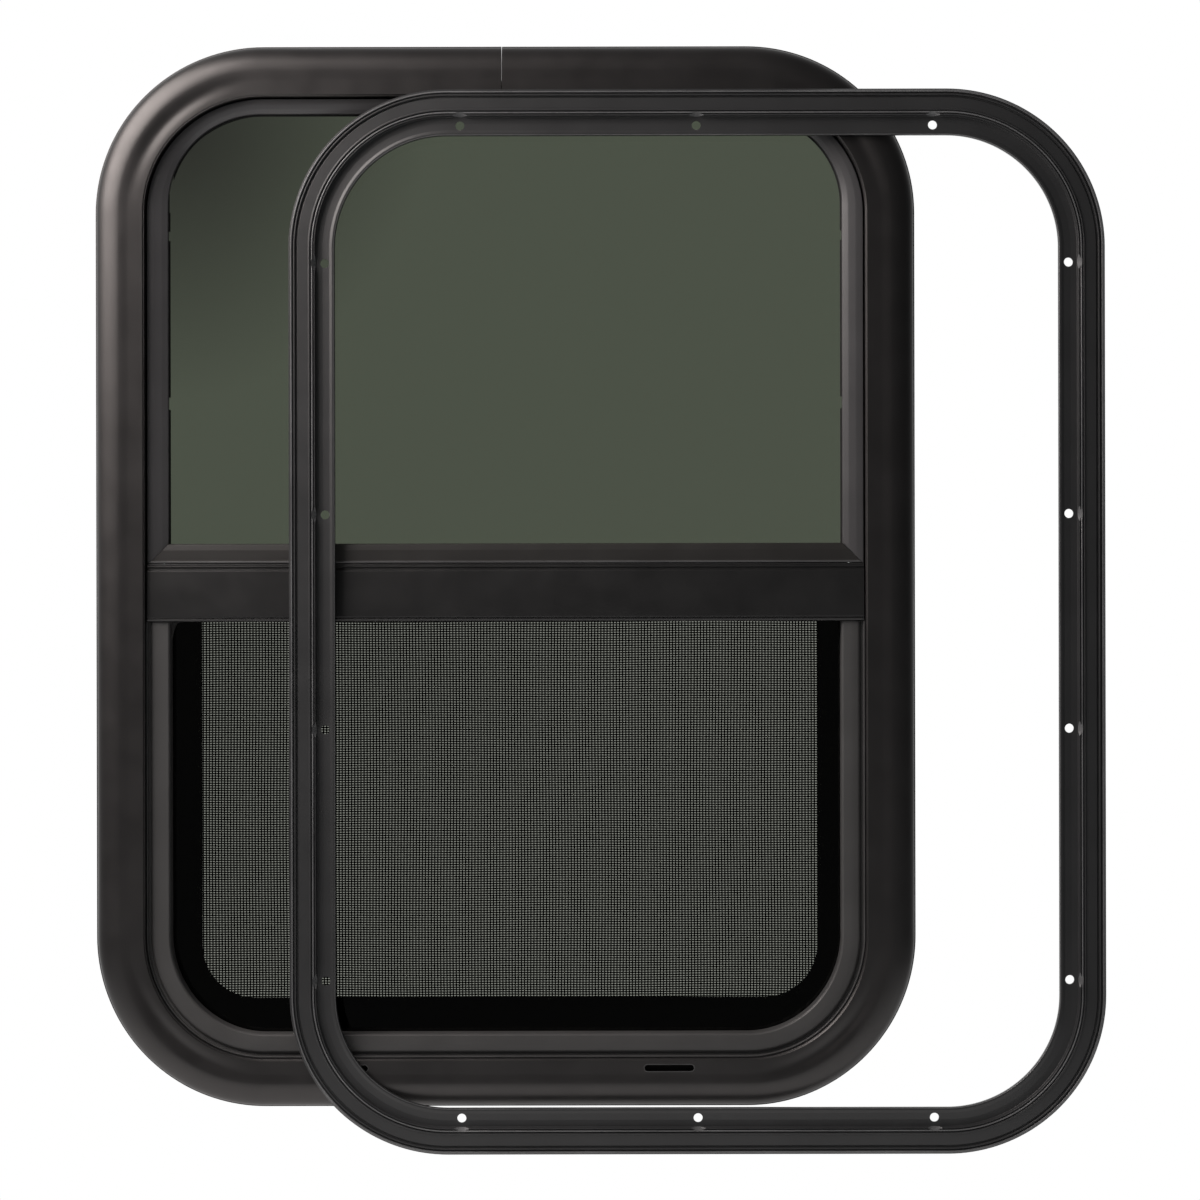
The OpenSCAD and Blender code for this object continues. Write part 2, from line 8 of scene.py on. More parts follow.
import bmesh
import bpy
import numpy as np
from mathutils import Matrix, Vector


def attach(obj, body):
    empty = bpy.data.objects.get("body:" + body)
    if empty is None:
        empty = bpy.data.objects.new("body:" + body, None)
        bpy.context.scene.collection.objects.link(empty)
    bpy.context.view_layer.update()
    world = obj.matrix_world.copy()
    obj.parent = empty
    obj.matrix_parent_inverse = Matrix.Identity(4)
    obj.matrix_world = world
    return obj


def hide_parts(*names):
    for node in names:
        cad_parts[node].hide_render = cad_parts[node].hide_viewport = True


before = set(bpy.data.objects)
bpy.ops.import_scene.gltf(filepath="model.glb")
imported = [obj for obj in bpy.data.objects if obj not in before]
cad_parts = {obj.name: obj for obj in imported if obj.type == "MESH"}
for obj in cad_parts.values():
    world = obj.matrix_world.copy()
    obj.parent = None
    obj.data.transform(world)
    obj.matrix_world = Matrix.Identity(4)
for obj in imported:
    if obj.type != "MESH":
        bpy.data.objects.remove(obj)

Array = np.ndarray
Object = bpy.types.Object
Socket = bpy.types.NodeSocket

LOG = logging.getLogger("caravan_window")
ROOT = "root"
MM = 0.001

# The flange's outline, in mm, with the radius that its corners have in the photograph.
FRAME_WIDE, FRAME_TALL, FRAME_RADIUS = 474.0, 613.0, 97.5

# Edges sharper than this angle in degrees stay sharp. Points nearer than these, in metres, are one.
SHARP = 32.0
SAME_POINT, NO_LENGTH = 2e-6, 1e-6

# The most of an edge that an eased corner may take from either end.
MOST_OF_EDGE = 0.45

# A ray that no surface has mirrored yet has a glossy depth below this.
UNMIRRORED = 0.5


# Shapes


def eased(corners: list, cut: Array | float, steps: int = 4) -> Array:
    """Rounds the corners of a closed profile.

    Each corner P becomes the quadratic curve (1-s)^2 A + 2s(1-s) P + s^2 C, where A and C lie on
    the two edges at the cut-back length from P.

    Args:
        corners: corner points of the closed profile, in mm.
        cut: cut-back length at every corner, or one for each.
        steps: segments of each corner.

    Returns:
        The points of the eased profile, in mm.
    """
    p = np.asarray(corners, float)
    back, ahead = np.roll(p, 1, 0) - p, np.roll(p, -1, 0) - p
    lb, la = np.linalg.norm(back, axis=1), np.linalg.norm(ahead, axis=1)
    c = np.broadcast_to(np.asarray(cut, float), lb.shape)
    a = p + back * (np.minimum(c, MOST_OF_EDGE * lb) / lb)[:, None]
    b = p + ahead * (np.minimum(c, MOST_OF_EDGE * la) / la)[:, None]
    s = np.linspace(0, 1, steps + 1)[None, :, None]
    return ((1 - s) ** 2 * a[:, None] + 2 * s * (1 - s) * p[:, None] + s**2 * b[:, None]).reshape(-1, 2)


@dataclass(frozen=True)
class Loop:
    """A rounded rectangle seen from the front, which profiles are carried along. Sizes in mm.

    The top and bottom runs may sit lower by sink: the top's rim and inner part, then the bottom's.
    The rim's value goes over into the inner one between the two distances of blend.
    """

    width: float
    height: float
    radius: float
    x: float = 0.0
    z: float = 0.0
    steps: int = 40
    sink: tuple = (0.0, 0.0, 0.0, 0.0)
    blend: tuple = (10.0, 26.0)

    def bend(self, k: int) -> Array:
        """Stations of one corner: a fixed centre, and an angle that grows by a quarter turn.

        Args:
            k: corner, counted against the clock from the top right one.

        Returns:
            Rows of centre x, centre z and angle.
        """
        sx, sz = (1, -1, -1, 1)[k % 4], (1, 1, -1, -1)[k % 4]
        t = math.pi / 2 * (k + np.linspace(0, 1, self.steps + 1))
        cx = np.full_like(t, self.x + sx * (self.width / 2 - self.radius))
        cz = np.full_like(t, self.z + sz * (self.height / 2 - self.radius))
        return np.stack([cx, cz, t], 1)

    def side(self, sx: int, level: float, t: float) -> Array:
        """One station on the right run (sx is 1) or the left one (-1), at a level and an angle."""
        return np.array([[self.x + sx * (self.width / 2 - self.radius), level, t]])

    def ring(self) -> Array:
        """Stations once round the whole rectangle."""
        return np.concatenate([self.bend(k) for k in range(4)])

    def arch(self, low: float) -> Array:
        """Stations from the level low on the right, over the top and down to it on the left."""
        ends = self.side(1, low, 0.0), self.side(-1, low, math.pi)
        return np.concatenate([ends[0], self.bend(0), self.bend(1), ends[1]])

    def trough(self, high: float) -> Array:
        """Stations from the level high on the left, round the bottom and up to it on the right."""
        ends = self.side(-1, high, math.pi), self.side(1, high, 2 * math.pi)
        return np.concatenate([ends[0], self.bend(2), self.bend(3), ends[1]])

    def parted(self, x: float, gap: float) -> Array:
        """Stations once round, from one side of a butt joint in the top run to its other side.

        Args:
            x: middle of the joint.
            gap: width of the joint.

        Returns:
            Rows of centre x, centre z and angle.
        """
        top, upright, turn = self.z + self.height / 2 - self.radius, math.pi / 2, 2 * math.pi
        bends = [self.bend(k) for k in (1, 2, 3, 4)]
        return np.concatenate([[[x - gap / 2, top, upright]], *bends, [[x + gap / 2, top, upright + turn]]])

    def carry(self, stations: Array, profile: Array) -> Array:
        """Carries a profile along stations.

        A profile point (u, f) lies u in from the rim and f towards the viewer, so at a station it is
        at centre + (radius - u) * (cos t, sin t) in the front view, and at -f in depth. It then sits
        lower by sink times sin t at the top, and by sink times -sin t at the bottom.

        Args:
            stations: rows of centre x, centre z and angle t.
            profile: rows of u and f, in mm.

        Returns:
            A grid of points in metres, stations by profile points by 3.
        """
        r = self.radius - profile[None, :, 0]
        rise = np.sin(stations[:, 2:3])
        x = stations[:, 0:1] + r * np.cos(stations[:, 2:3])
        z = stations[:, 1:2] + r * rise
        start, end = self.blend
        share = np.clip((profile[None, :, 0] - start) / (end - start), 0, 1)
        top = self.sink[0] + (self.sink[1] - self.sink[0]) * share
        low = self.sink[2] + (self.sink[3] - self.sink[2]) * share
        z = z - top * np.clip(rise, 0, 1) - low * np.clip(-rise, 0, 1)
        y = np.broadcast_to(-profile[None, :, 1], x.shape)
        return np.stack([x, y, z], -1) * MM

    def outline(self, stations: Array) -> Array:
        """The rim at the stations, as a grid with one profile point."""
        return self.carry(stations, np.zeros((1, 2)))


def between(outer: Array, inner: Array, profile: Array) -> Array:
    """Carries a profile between two outlines with radii of their own.

    A profile point (k, f) lies at outer + k (inner - outer) in the front view, and at -f in depth.

    Args:
        outer: outline grid in metres, stations by 1 by 3.
        inner: the same for the inner outline.
        profile: rows of share k and height f in mm.

    Returns:
        A grid of points in metres, stations by profile points by 3.
    """
    grid = outer + profile[None, :, 0:1] * (inner - outer)
    grid[..., 1] = -profile[None, :, 1] * MM
    return grid


def object_from(name: str, verts: Array, faces: list) -> Object:
    """Makes a mesh object in the scene.

    Args:
        name: name of the object and its mesh.
        verts: points in metres.
        faces: lists of corners.

    Returns:
        The object.
    """
    mesh = bpy.data.meshes.new(name)
    mesh.from_pydata(verts.tolist(), [], faces)
    mesh.update()
    obj = bpy.data.objects.new(name, mesh)
    bpy.context.scene.collection.objects.link(obj)
    return obj


def settle(obj: Object, sharp: float = SHARP) -> Object:
    """Merges doubles, turns the faces outwards and shades smooth.

    Args:
        obj: object with a closed mesh.
        sharp: angle in degrees, above which an edge stays sharp.

    Returns:
        The same object.
    """
    bm = bmesh.new()
    bm.from_mesh(obj.data)
    bmesh.ops.remove_doubles(bm, verts=bm.verts, dist=SAME_POINT)
    bmesh.ops.dissolve_degenerate(bm, edges=bm.edges, dist=NO_LENGTH)
    bmesh.ops.recalc_face_normals(bm, faces=bm.faces)
    bm.to_mesh(obj.data)
    bm.free()
    obj.data.polygons.foreach_set("use_smooth", np.ones(len(obj.data.polygons), bool))
    obj.data.set_sharp_from_angle(angle=math.radians(sharp))
    return obj


def crests(profile: Array, low: float, *spans: tuple) -> Array:
    """Marks the segments of a profile that lie above a height and inside one of the spans.

    Args:
        profile: rows of u and f, in mm.
        low: height above which a segment's middle has to lie.
        *spans: pairs of u between which it has to lie.

    Returns:
        True or False for each segment.
    """
    mid = (profile + np.roll(profile, -1, 0)) / 2
    inside = np.any([(a <= mid[:, 0]) & (mid[:, 0] <= b) for a, b in spans], axis=0)
    return inside & (mid[:, 1] > low)


def paint_two(obj: Object, pair: tuple, marks: Array) -> None:
    """Gives an object two finishes, of which the second is a lighter painted highlight.

    Args:
        obj: object with no finish yet.
        pair: the two finishes.
        marks: marks the faces that take the second one, the painted highlight.
    """
    for finish in pair:
        obj.data.materials.append(finish.value.make())
    obj.data.polygons.foreach_set("material_index", marks.astype(np.int32))


def tube(name: str, grid: Array, closed: bool, painted_highlight: Array | None = None, pair: tuple = ()) -> Object:
    """Makes a solid from a grid, with a quad for each step along it and across it.

    Args:
        name: name of the object.
        grid: points in metres, stations by profile points by 3.
        closed: whether it closes into a ring, or has capped ends.
        painted_highlight: marks the profile segments that take pair's second finish, the painted highlight.
        pair: the base finish and the painted highlight, or nothing.

    Returns:
        The object.
    """
    s, p = grid.shape[:2]
    idx = np.arange(s * p).reshape(s, p)
    rows = np.append(idx, idx[:1], 0) if closed else idx
    rows = np.append(rows, rows[:, :1], 1)
    quads = np.stack([rows[:-1, :-1], rows[1:, :-1], rows[1:, 1:], rows[:-1, 1:]], -1).reshape(-1, 4)
    caps = [] if closed else [idx[0].tolist(), idx[-1].tolist()]
    obj = object_from(name, grid.reshape(-1, 3), quads.tolist() + caps)
    if pair:
        paint_two(obj, pair, np.concatenate([np.tile(painted_highlight, len(rows) - 1), np.zeros(len(caps), bool)]))
    return settle(obj)


def bar(name: str, half: float, profile: Array, painted_highlight: Array | None = None, pair: tuple = ()) -> Object:
    """Makes a level bar, a profile carried straight across the window.

    Args:
        name: name of the object.
        half: half of its length, in mm.
        profile: rows of level and height towards the viewer, in mm.
        painted_highlight: marks the profile segments that take pair's second finish, the painted highlight.
        pair: the base finish and the painted highlight, or nothing.

    Returns:
        The object.
    """
    x = np.array([-half, half])[:, None]
    grid = np.stack(np.broadcast_arrays(x, -profile[None, :, 1], profile[None, :, 0]), -1) * MM
    return tube(name, grid, False, painted_highlight, pair)


def prisms(
    name: str, outlines: Array, low: float, high: float, grow: float = 0.0, pair: tuple = ()
) -> Object:
    """Makes upright prisms: each outline at one height, joined to itself at another.

    Args:
        name: name of the object.
        outlines: prisms by points by (x, z), in mm.
        low: height of the back faces towards the viewer, in mm.
        high: height of the front faces.
        grow: share by which the front faces are wider.
        pair: two finishes, of which the prisms take the second, a painted highlight, or nothing.

    Returns:
        One object with all the prisms.
    """
    k, n = outlines.shape[:2]
    middle = outlines.mean(1, keepdims=True)
    wider = middle + (outlines - middle) * (1 + grow)
    f = np.array([low, high])[None, :, None]
    x, z = (np.stack([outlines[..., i], wider[..., i]], 1) for i in (0, 1))
    verts = np.stack([x, np.broadcast_to(-f, (k, 2, n)), z], -1).reshape(-1, 3) * MM
    idx = np.arange(k * 2 * n).reshape(k, 2, n)
    nxt = np.roll(idx, -1, 2)
    sides = np.stack([idx[:, 0], nxt[:, 0], nxt[:, 1], idx[:, 1]], -1).reshape(-1, 4)
    obj = object_from(name, verts, sides.tolist() + idx.reshape(-1, n).tolist())
    if pair:
        paint_two(obj, pair, np.ones(len(obj.data.polygons), bool))
    return settle(obj)


def discs(centres: Array, radius: float, n: int = 40) -> Array:
    """Outlines of circles: centre + radius (cos t, sin t).

    Args:
        centres: rows of x and z, in mm.
        radius: their radius, in mm.
        n: points of each.

    Returns:
        Circles by points by 2.
    """
    t = np.linspace(0, 2 * math.pi, n, endpoint=False)
    ring = np.stack([np.cos(t), np.sin(t)], -1) * radius
    return np.asarray(centres, float)[:, None, :] + ring[None]


def stadiums(centres: list, length: float, height: float, n: int = 24) -> Array:
    """Outlines of slots with round ends: half a circle, moved out, and its mirror image.

    Args:
        centres: pairs of x and z, in mm.
        length: length over all.
        height: height, which is also the ends' diameter.
        n: points of each end.

    Returns:
        Slots by points by 2.
    """
    t = np.linspace(-math.pi / 2, math.pi / 2, n)
    right = np.stack([np.cos(t), np.sin(t)], -1) * height / 2 + [(length - height) / 2, 0]
    return np.asarray(centres, float)[:, None, :] + np.concatenate([right, -right])[None]


def panels(*spans: tuple) -> Array:
    """Outlines of upright rectangles.

    Args:
        *spans: for each the values x0, x1, z0 and z1, in mm.

    Returns:
        Rectangles by 4 corners by 2.
    """
    x0, x1, z0, z1 = np.array(spans, float).T
    return np.stack([np.stack([x0, x1, x1, x0], -1), np.stack([z0, z0, z1, z1], -1)], -1)


def cut(obj: Object, *tools: Object, sharp: float = SHARP) -> Object:
    """Takes the tools out of an object, and removes them.

    Args:
        obj: object that is cut.
        *tools: closed objects.
        sharp: angle in degrees, above which an edge stays sharp.

    Returns:
        The same object with its new mesh.
    """
    for tool in tools:
        mod = obj.modifiers.new("cut", "BOOLEAN")
        mod.operation, mod.solver, mod.object = "DIFFERENCE", "EXACT", tool
    graph = bpy.context.evaluated_depsgraph_get()
    mesh = bpy.data.meshes.new_from_object(obj.evaluated_get(graph), depsgraph=graph)
    obj.modifiers.clear()
    obj.data = mesh
    for tool in tools:
        bpy.data.objects.remove(tool)
    return settle(obj, sharp)


def joined(obj: Object, extra: Object) -> Object:
    """Adds the mesh of a second object to the first one, and removes the second.

    Args:
        obj: object that grows.
        extra: object whose mesh it takes.

    Returns:
        The first object.
    """
    bm = bmesh.new()
    bm.from_mesh(obj.data)
    bm.from_mesh(extra.data)
    bm.to_mesh(obj.data)
    bm.free()
    bpy.data.objects.remove(extra)
    obj.data.set_sharp_from_angle(angle=math.radians(SHARP))
    return obj


# Finishes


class Nodes:
    """Short ways to add shader nodes to a material or the world."""

    def __init__(self, owner: bpy.types.ID) -> None:
        """Empties the tree of a material or world.

        Args:
            owner: the material or world.
        """
        owner.use_nodes = True
        self.tree = owner.node_tree
        self.tree.nodes.clear()

    def add(self, kind: str, **values: object) -> bpy.types.Node:
        """Adds a node.

        Args:
            kind: type of the node.
            **values: values of its inputs by name, or its own settings.

        Returns:
            The node.
        """
        node = self.tree.nodes.new(kind)
        for key, value in values.items():
            name = key.replace("_", " ")
            if name in node.inputs:
                node.inputs[name].default_value = value
            else:
                setattr(node, key, value)
        return node

    def join(self, out: Socket, into: Socket) -> None:
        """Links two sockets."""
        self.tree.links.new(out, into)

    def feed(self, into: Socket, value: object) -> None:
        """Links a socket to an input, or writes a number or colour there.

        Args:
            into: the input.
            value: socket, number or colour.
        """
        if isinstance(value, Socket):
            self.join(value, into)
        else:
            into.default_value = value

    def math(self, operation: str, *values: object) -> Socket:
        """Works out one operation.

        Args:
            operation: its name.
            *values: sockets and numbers, in the order of the inputs.

        Returns:
            The result.
        """
        node = self.add("ShaderNodeMath", operation=operation)
        for into, value in zip(node.inputs, values):
            self.feed(into, value)
        return node.outputs[0]

    def blend(self, factor: Socket, a: object, b: object) -> Socket:
        """Goes from a to b with a factor.

        Args:
            factor: 0 gives a, and 1 gives b.
            a: socket, number or colour with alpha.
            b: the same.

        Returns:
            The result.
        """
        # The node has its own inputs and output for colours, and others for numbers.
        kind, first, out = ("RGBA", 6, 2) if isinstance(a, tuple) else ("FLOAT", 2, 0)
        node = self.add("ShaderNodeMix", data_type=kind)
        for at, value in ((0, factor), (first, a), (first + 1, b)):
            self.feed(node.inputs[at], value)
        return node.outputs[out]

    def noise(self, scale: float, detail: float) -> Socket:
        """Noise on Object coordinates.

        Args:
            scale: features a metre.
            detail: octaves.

        Returns:
            The noise, about 0.3 to 0.7.
        """
        place = self.add("ShaderNodeTexCoord")
        noise = self.add("ShaderNodeTexNoise", Scale=scale, Detail=detail)
        self.join(place.outputs["Object"], noise.inputs["Vector"])
        return noise.outputs["Fac"]

    def away(self, point: tuple) -> Socket:
        """Distance from a point, both in Object coordinates.

        Args:
            point: the point, in metres.

        Returns:
            The distance in metres.
        """
        place = self.add("ShaderNodeTexCoord")
        away = self.add("ShaderNodeVectorMath", operation="DISTANCE")
        self.join(place.outputs["Object"], away.inputs[0])
        away.inputs[1].default_value = point
        return away.outputs["Value"]

    def ramp(self, value: Socket, low: float, high: float, to: tuple, kind: str = "LINEAR") -> Socket:
        """Maps low..high of a value to two numbers or two colours.

        Args:
            value: the value.
            low: its low end.
            high: its high end.
            to: the two numbers or colours.
            kind: course between two numbers.

        Returns:
            The number or colour.
        """
        if isinstance(to[0], tuple):
            node = self.add("ShaderNodeValToRGB")
            for stop, at, colour in zip(node.color_ramp.elements, (low, high), to):
                stop.position, stop.color = at, (*colour, 1)
            self.join(value, node.inputs["Fac"])
            return node.outputs["Color"]
        span = {"From_Min": low, "From_Max": high, "To_Min": to[0], "To_Max": to[1]}
        node = self.add("ShaderNodeMapRange", interpolation_type=kind, **span)
        self.join(value, node.inputs["Value"])
        return node.outputs["Result"]


@dataclass(frozen=True)
class Coat:
    """A satin coat over metal, plastic or rubber, with fine grain and uneven gloss.

    Clouds and wear hold features a metre, octaves, and the part of the noise that is spread out.
    """

    name: str
    colour: tuple
    rough: float = 0.38
    specular: float = 0.5
    grain: float = 900.0
    grain_detail: float = 3.0
    bump: float = 0.12
    bump_depth: float = 0.0001
    spread: float = 0.07
    metallic: float = 0.0
    gloss_tint: tuple = (1.0, 1.0, 1.0)
    clouds: tuple = (28.0, 4.0, 0.35, 0.65)
    wear: tuple = (60.0, 5.0, 0.3, 0.7)
    wear_reach: tuple = (0.92, 1.1)

    def make(self) -> bpy.types.Material:
        """Builds the material once.

        Returns:
            The material, the same one each time.
        """
        if self.name in bpy.data.materials:
            return bpy.data.materials[self.name]
        mat = bpy.data.materials.new(self.name)
        n = Nodes(mat)
        out = n.add("ShaderNodeOutputMaterial")
        shader = n.add("ShaderNodeBsdfPrincipled", Metallic=self.metallic)
        shader.inputs["Specular IOR Level"].default_value = self.specular
        shader.inputs["Specular Tint"].default_value = (*self.gloss_tint, 1)
        n.join(shader.outputs["BSDF"], out.inputs["Surface"])
        dark, light = (tuple(c * (1 + sign * self.spread) for c in self.colour) for sign in (-1, 1))
        scale, detail, low, high = self.clouds
        n.join(n.ramp(n.noise(scale, detail), low, high, (dark, light)), shader.inputs["Base Color"])
        scale, detail, low, high = self.wear
        rough = tuple(self.rough * share for share in self.wear_reach)
        n.join(n.ramp(n.noise(scale, detail), low, high, rough), shader.inputs["Roughness"])
        bump = n.add("ShaderNodeBump", Strength=self.bump, Distance=self.bump_depth)
        n.join(n.noise(self.grain, self.grain_detail), bump.inputs["Height"])
        n.join(bump.outputs["Normal"], shader.inputs["Normal"])
        return mat


@dataclass(frozen=True)
class TintedGlass:
    """Toughened glass with a grey-green tint that is a little uneven, and deeper near one corner as painted
    shade.

    Corner is that place in metres, reach the distances at which the tint is deep and pale, and sway
    holds how far the distance wavers, with features a metre and octaves.
    """

    name: str
    pale: tuple
    deep: tuple
    corner: tuple = (-0.2, 0.004, 0.27)
    reach: tuple = (0.03, 0.3)
    sway: tuple = (0.06, 4.0, 1.0)
    index: float = 1.5

    def make(self) -> bpy.types.Material:
        """Builds the material.

        Returns:
            The material.
        """
        mat = bpy.data.materials.new(self.name)
        n = Nodes(mat)
        out = n.add("ShaderNodeOutputMaterial")
        shader = n.add("ShaderNodeBsdfPrincipled", IOR=self.index, Transmission_Weight=1.0, Roughness=0.0)
        n.join(shader.outputs["BSDF"], out.inputs["Surface"])
        swing, scale, detail = self.sway
        # Painted shade: the tint darkens from pale to deep towards the corner.
        distance = n.math("MULTIPLY_ADD", n.noise(scale, detail), swing, n.away(self.corner))
        tint = n.blend(n.ramp(distance, *self.reach, (0.0, 1.0)), (*self.deep, 1), (*self.pale, 1))
        n.join(tint, shader.inputs["Base Color"])
        return mat


class Finishes(Enum):
    """The finishes of the window."""

    FRAME = Coat("frame_coat", (0.0102, 0.0100, 0.0103), specular=0.6, gloss_tint=(1.0, 0.97, 0.955))
    BEAD = Coat("bead_coat", (0.043, 0.043, 0.045), rough=0.36)
    SILL = Coat("sill_coat", (0.0195, 0.0190, 0.0182), rough=0.4, specular=0.35)
    RAIL = Coat("rail_coat", (0.0088, 0.0091, 0.0094), rough=0.4)
    SURROUND = Coat("surround_coat", (0.058, 0.058, 0.058), specular=0.3)
    RING = Coat("ring_coat", (0.0245, 0.0255, 0.0265), rough=0.36, specular=0.45)
    # Painted highlight: the lighter colour on the ring's crests and notch walls; its lower roughness also
    # makes them glossier.
    PAINTED_CREST_HIGHLIGHT = Coat("ring_crest_painted_highlight", (0.098, 0.101, 0.104), rough=0.28, specular=0.7, spread=0.2)
    # Painted highlight: a lighter colour on the lit thin edges of the weep slots, sill and surround.
    PAINTED_EDGE_HIGHLIGHT = Coat("painted_edge_highlight", (0.056, 0.057, 0.058), rough=0.3, spread=0.15)
    SCREEN = Coat("screen_coat", (0.016, 0.016, 0.016), rough=0.4, specular=0.4)
    RUBBER = Coat("rubber_black", (0.008, 0.008, 0.008), rough=0.7, specular=0.2, grain=1600, bump=0.2)
    TRACK = Coat("track_black", (0.012, 0.012, 0.013), rough=0.55, specular=0.35, grain=700, bump=0.2)
    PILE = Coat("pile_black", (0.012, 0.012, 0.012), rough=0.95, specular=0.1, grain=2600, bump=0.9)
    THREAD = Coat("thread_charcoal", (0.018, 0.0185, 0.017), rough=0.5, specular=0.3, grain=3000)
    PRINT = Coat("printed_border", (0.0012, 0.0018, 0.0015), rough=0.5, specular=0.1, bump=0.02, spread=0.4)
    SPLICE = Coat(
        "splice_aluminium", (0.55, 0.55, 0.56), rough=0.35, metallic=1.0, grain=400, bump=0.3, spread=0.06
    )
    # Both panes carry painted shade, darker towards a corner on the left.
    PANE = TintedGlass(
        "pane_tint_and_painted_shade", pale=(0.0755, 0.0875, 0.0645), deep=(0.0170, 0.0163, 0.0152), reach=(0.02, 0.19)
    )
    SASH = TintedGlass(
        "sash_tint_and_painted_shade", pale=(0.247, 0.256, 0.226), deep=(0.216, 0.226, 0.199), corner=(-0.2, 0.004, 0.0)
    )


def dress(obj: Object, finish: Finishes) -> None:
    """Gives a new piece its finish, unless it has some, and puts it on the root body.

    Args:
        obj: the piece.
        finish: its finish.
    """
    if not len(obj.data.materials):
        obj.data.materials.append(finish.value.make())
    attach(obj, ROOT)


def repaint(finish: Finishes, *nodes: str) -> None:
    """Gives CAD nodes a finish.

    Args:
        finish: the finish.
        *nodes: names of the nodes.
    """
    mat = finish.value.make()
    for node in nodes:
        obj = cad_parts[node]
        if not obj.material_slots:
            obj.data.materials.append(mat)
        for slot in obj.material_slots:
            slot.material = mat


# The window


@dataclass
class OuterFrame:
    """The bent extrusion: domed flange, neck with its screw slot, two legs, butt joint and weep slots.

    Valley, slot and legs are places in the section: the valley's distance in and height, the slot's
    two sides and its bottom, and each leg's tip, front and back. Dent is how far the flange falls in
    at the bends, where in the section, and how wide. Weep is length, height, x and distance in.
    """

    loop: Loop = Loop(FRAME_WIDE, FRAME_TALL, FRAME_RADIUS, sink=(0.9, 1.6, 1.1, 1.9))
    flange: float = 29.0
    rim: float = 2.2
    ledge: float = 0.7
    ledge_drop: float = 0.4
    crown: float = 11.0
    crown_in: float = 14.5
    dome: tuple = (1.7, 2.0)
    dome_steps: int = 40
    valley: tuple = (20.6, 10.80)
    valley_steps: int = 14
    inner_edge: float = 10.80
    edge_w: float = 1.0
    edge_drop: float = 0.6
    neck_out: float = 19.0
    neck_in: float = 27.4
    depth: float = 35.0
    slot: tuple = (22.1, 24.3, -25.0)
    legs: tuple = ((36.2, -8.0, -9.6), (36.7, -16.6, -18.2))
    ease: float = 0.35
    ease_steps: int = 3
    dent: tuple = (0.95, 21.0, 3.8)
    dent_above: float = 9.3
    joint_x: float = -1.7
    joint_gap: float = 0.35
    weep: tuple = (28.5, 3.7, 94.0, 21.8)
    weep_reach: tuple = (3.2, 14.0)
    lip_more: float = 1.0
    lip_reach: tuple = (9.0, 10.87)

    def front(self) -> Array:
        """The flange's front: a superellipse up to the crown, then a fall and a climb.

        The outer part, past the ledge, is |1 - u/c|^p + |(f - rim)/(crown - rim)|^q = 1. The inner
        part is half a cosine wave down to the valley and half a wave up to the inner edge.

        Returns:
            Rows of u and f, in mm.
        """
        a = np.linspace(0, math.pi / 2, self.dome_steps + 1)[1:]
        rise, share = np.sin(a) ** (2 / self.dome[1]), np.cos(a) ** (2 / self.dome[0])
        u = self.ledge + (self.crown_in - self.ledge) * (1 - share)
        dome = np.stack([u, self.rim + (self.crown - self.rim) * rise], 1)
        t = np.linspace(0, 1, self.valley_steps + 1)[1:]
        wave = (1 - np.cos(np.pi * t)) / 2
        turns = (self.crown_in, self.crown), self.valley, (self.flange - self.edge_w, self.inner_edge)
        waves = [
            np.stack([a[0] + (b[0] - a[0]) * t, a[1] + (b[1] - a[1]) * wave], 1)
            for a, b in zip(turns, turns[1:])
        ]
        return np.concatenate([dome, *waves])

    def section(self) -> Array:
        """The whole section: inner edge, both legs, neck with its slot, back of the flange, and front.

        Returns:
            Rows of u and f, in mm.
        """
        (tip, face, rear), (back_tip, back_face, back_rear) = self.legs
        near, far, bottom = self.slot
        low, base = self.rim - self.ledge_drop, -self.depth
        back = [
            (self.flange, self.inner_edge - self.edge_drop), (self.flange, face), (tip, face), (tip, rear),
            (self.flange, rear), (self.flange, back_face), (back_tip, back_face), (back_tip, back_rear),
            (self.neck_in, back_rear), (self.neck_in, base), (far, base), (far, bottom), (near, bottom),
            (near, base), (self.neck_out, base), (self.neck_out, 0.0), (0.0, 0.0), (0.0, low),
            (self.ledge, low),
        ]
        return np.concatenate([eased(back, self.ease, self.ease_steps), self.front()])

    def dented(self, stations: Array, profile: Array) -> Array:
        """Carries the section, and lets the flange's inner part fall in at the bends.

        At a station of angle t, a point (u, f) of the front, whose f is above dent_above, falls by
        deep sin(2t)^2 exp(-((u - middle)/wide)^2).

        Args:
            stations: rows of centre x, centre z and angle t.
            profile: rows of u and f, in mm.

        Returns:
            A grid of points in metres, stations by profile points by 3.
        """
        deep, middle, wide = self.dent
        grid = self.loop.carry(stations, profile)
        hollow = np.exp(-(((profile[:, 0] - middle) / wide) ** 2)) * (profile[:, 1] > self.dent_above)
        grid[..., 1] += deep * MM * np.sin(2 * stations[:, 2:3]) ** 2 * hollow[None]
        return grid

    def weep_slots(self, more: float) -> Array:
        """Outlines of the two weep slots.

        Args:
            more: length and height that they get on top of their own.

        Returns:
            Slots by points by 2, in mm.
        """
        length, height, x, inside = self.weep
        z = inside - self.loop.height / 2
        return stadiums([(-x, z), (x, z)], length + more, height + more)

    def build(self) -> list:
        """Builds and dresses the frame, whose slots are cut before their lips are joined on.

        Returns:
            The pieces.
        """
        pair, profile = (Finishes.FRAME, Finishes.PAINTED_EDGE_HIGHLIGHT), self.section()
        grid = self.dented(self.loop.parted(self.joint_x, self.joint_gap), profile)
        obj = tube("outer_frame", grid, False, np.zeros(len(profile), bool), pair)
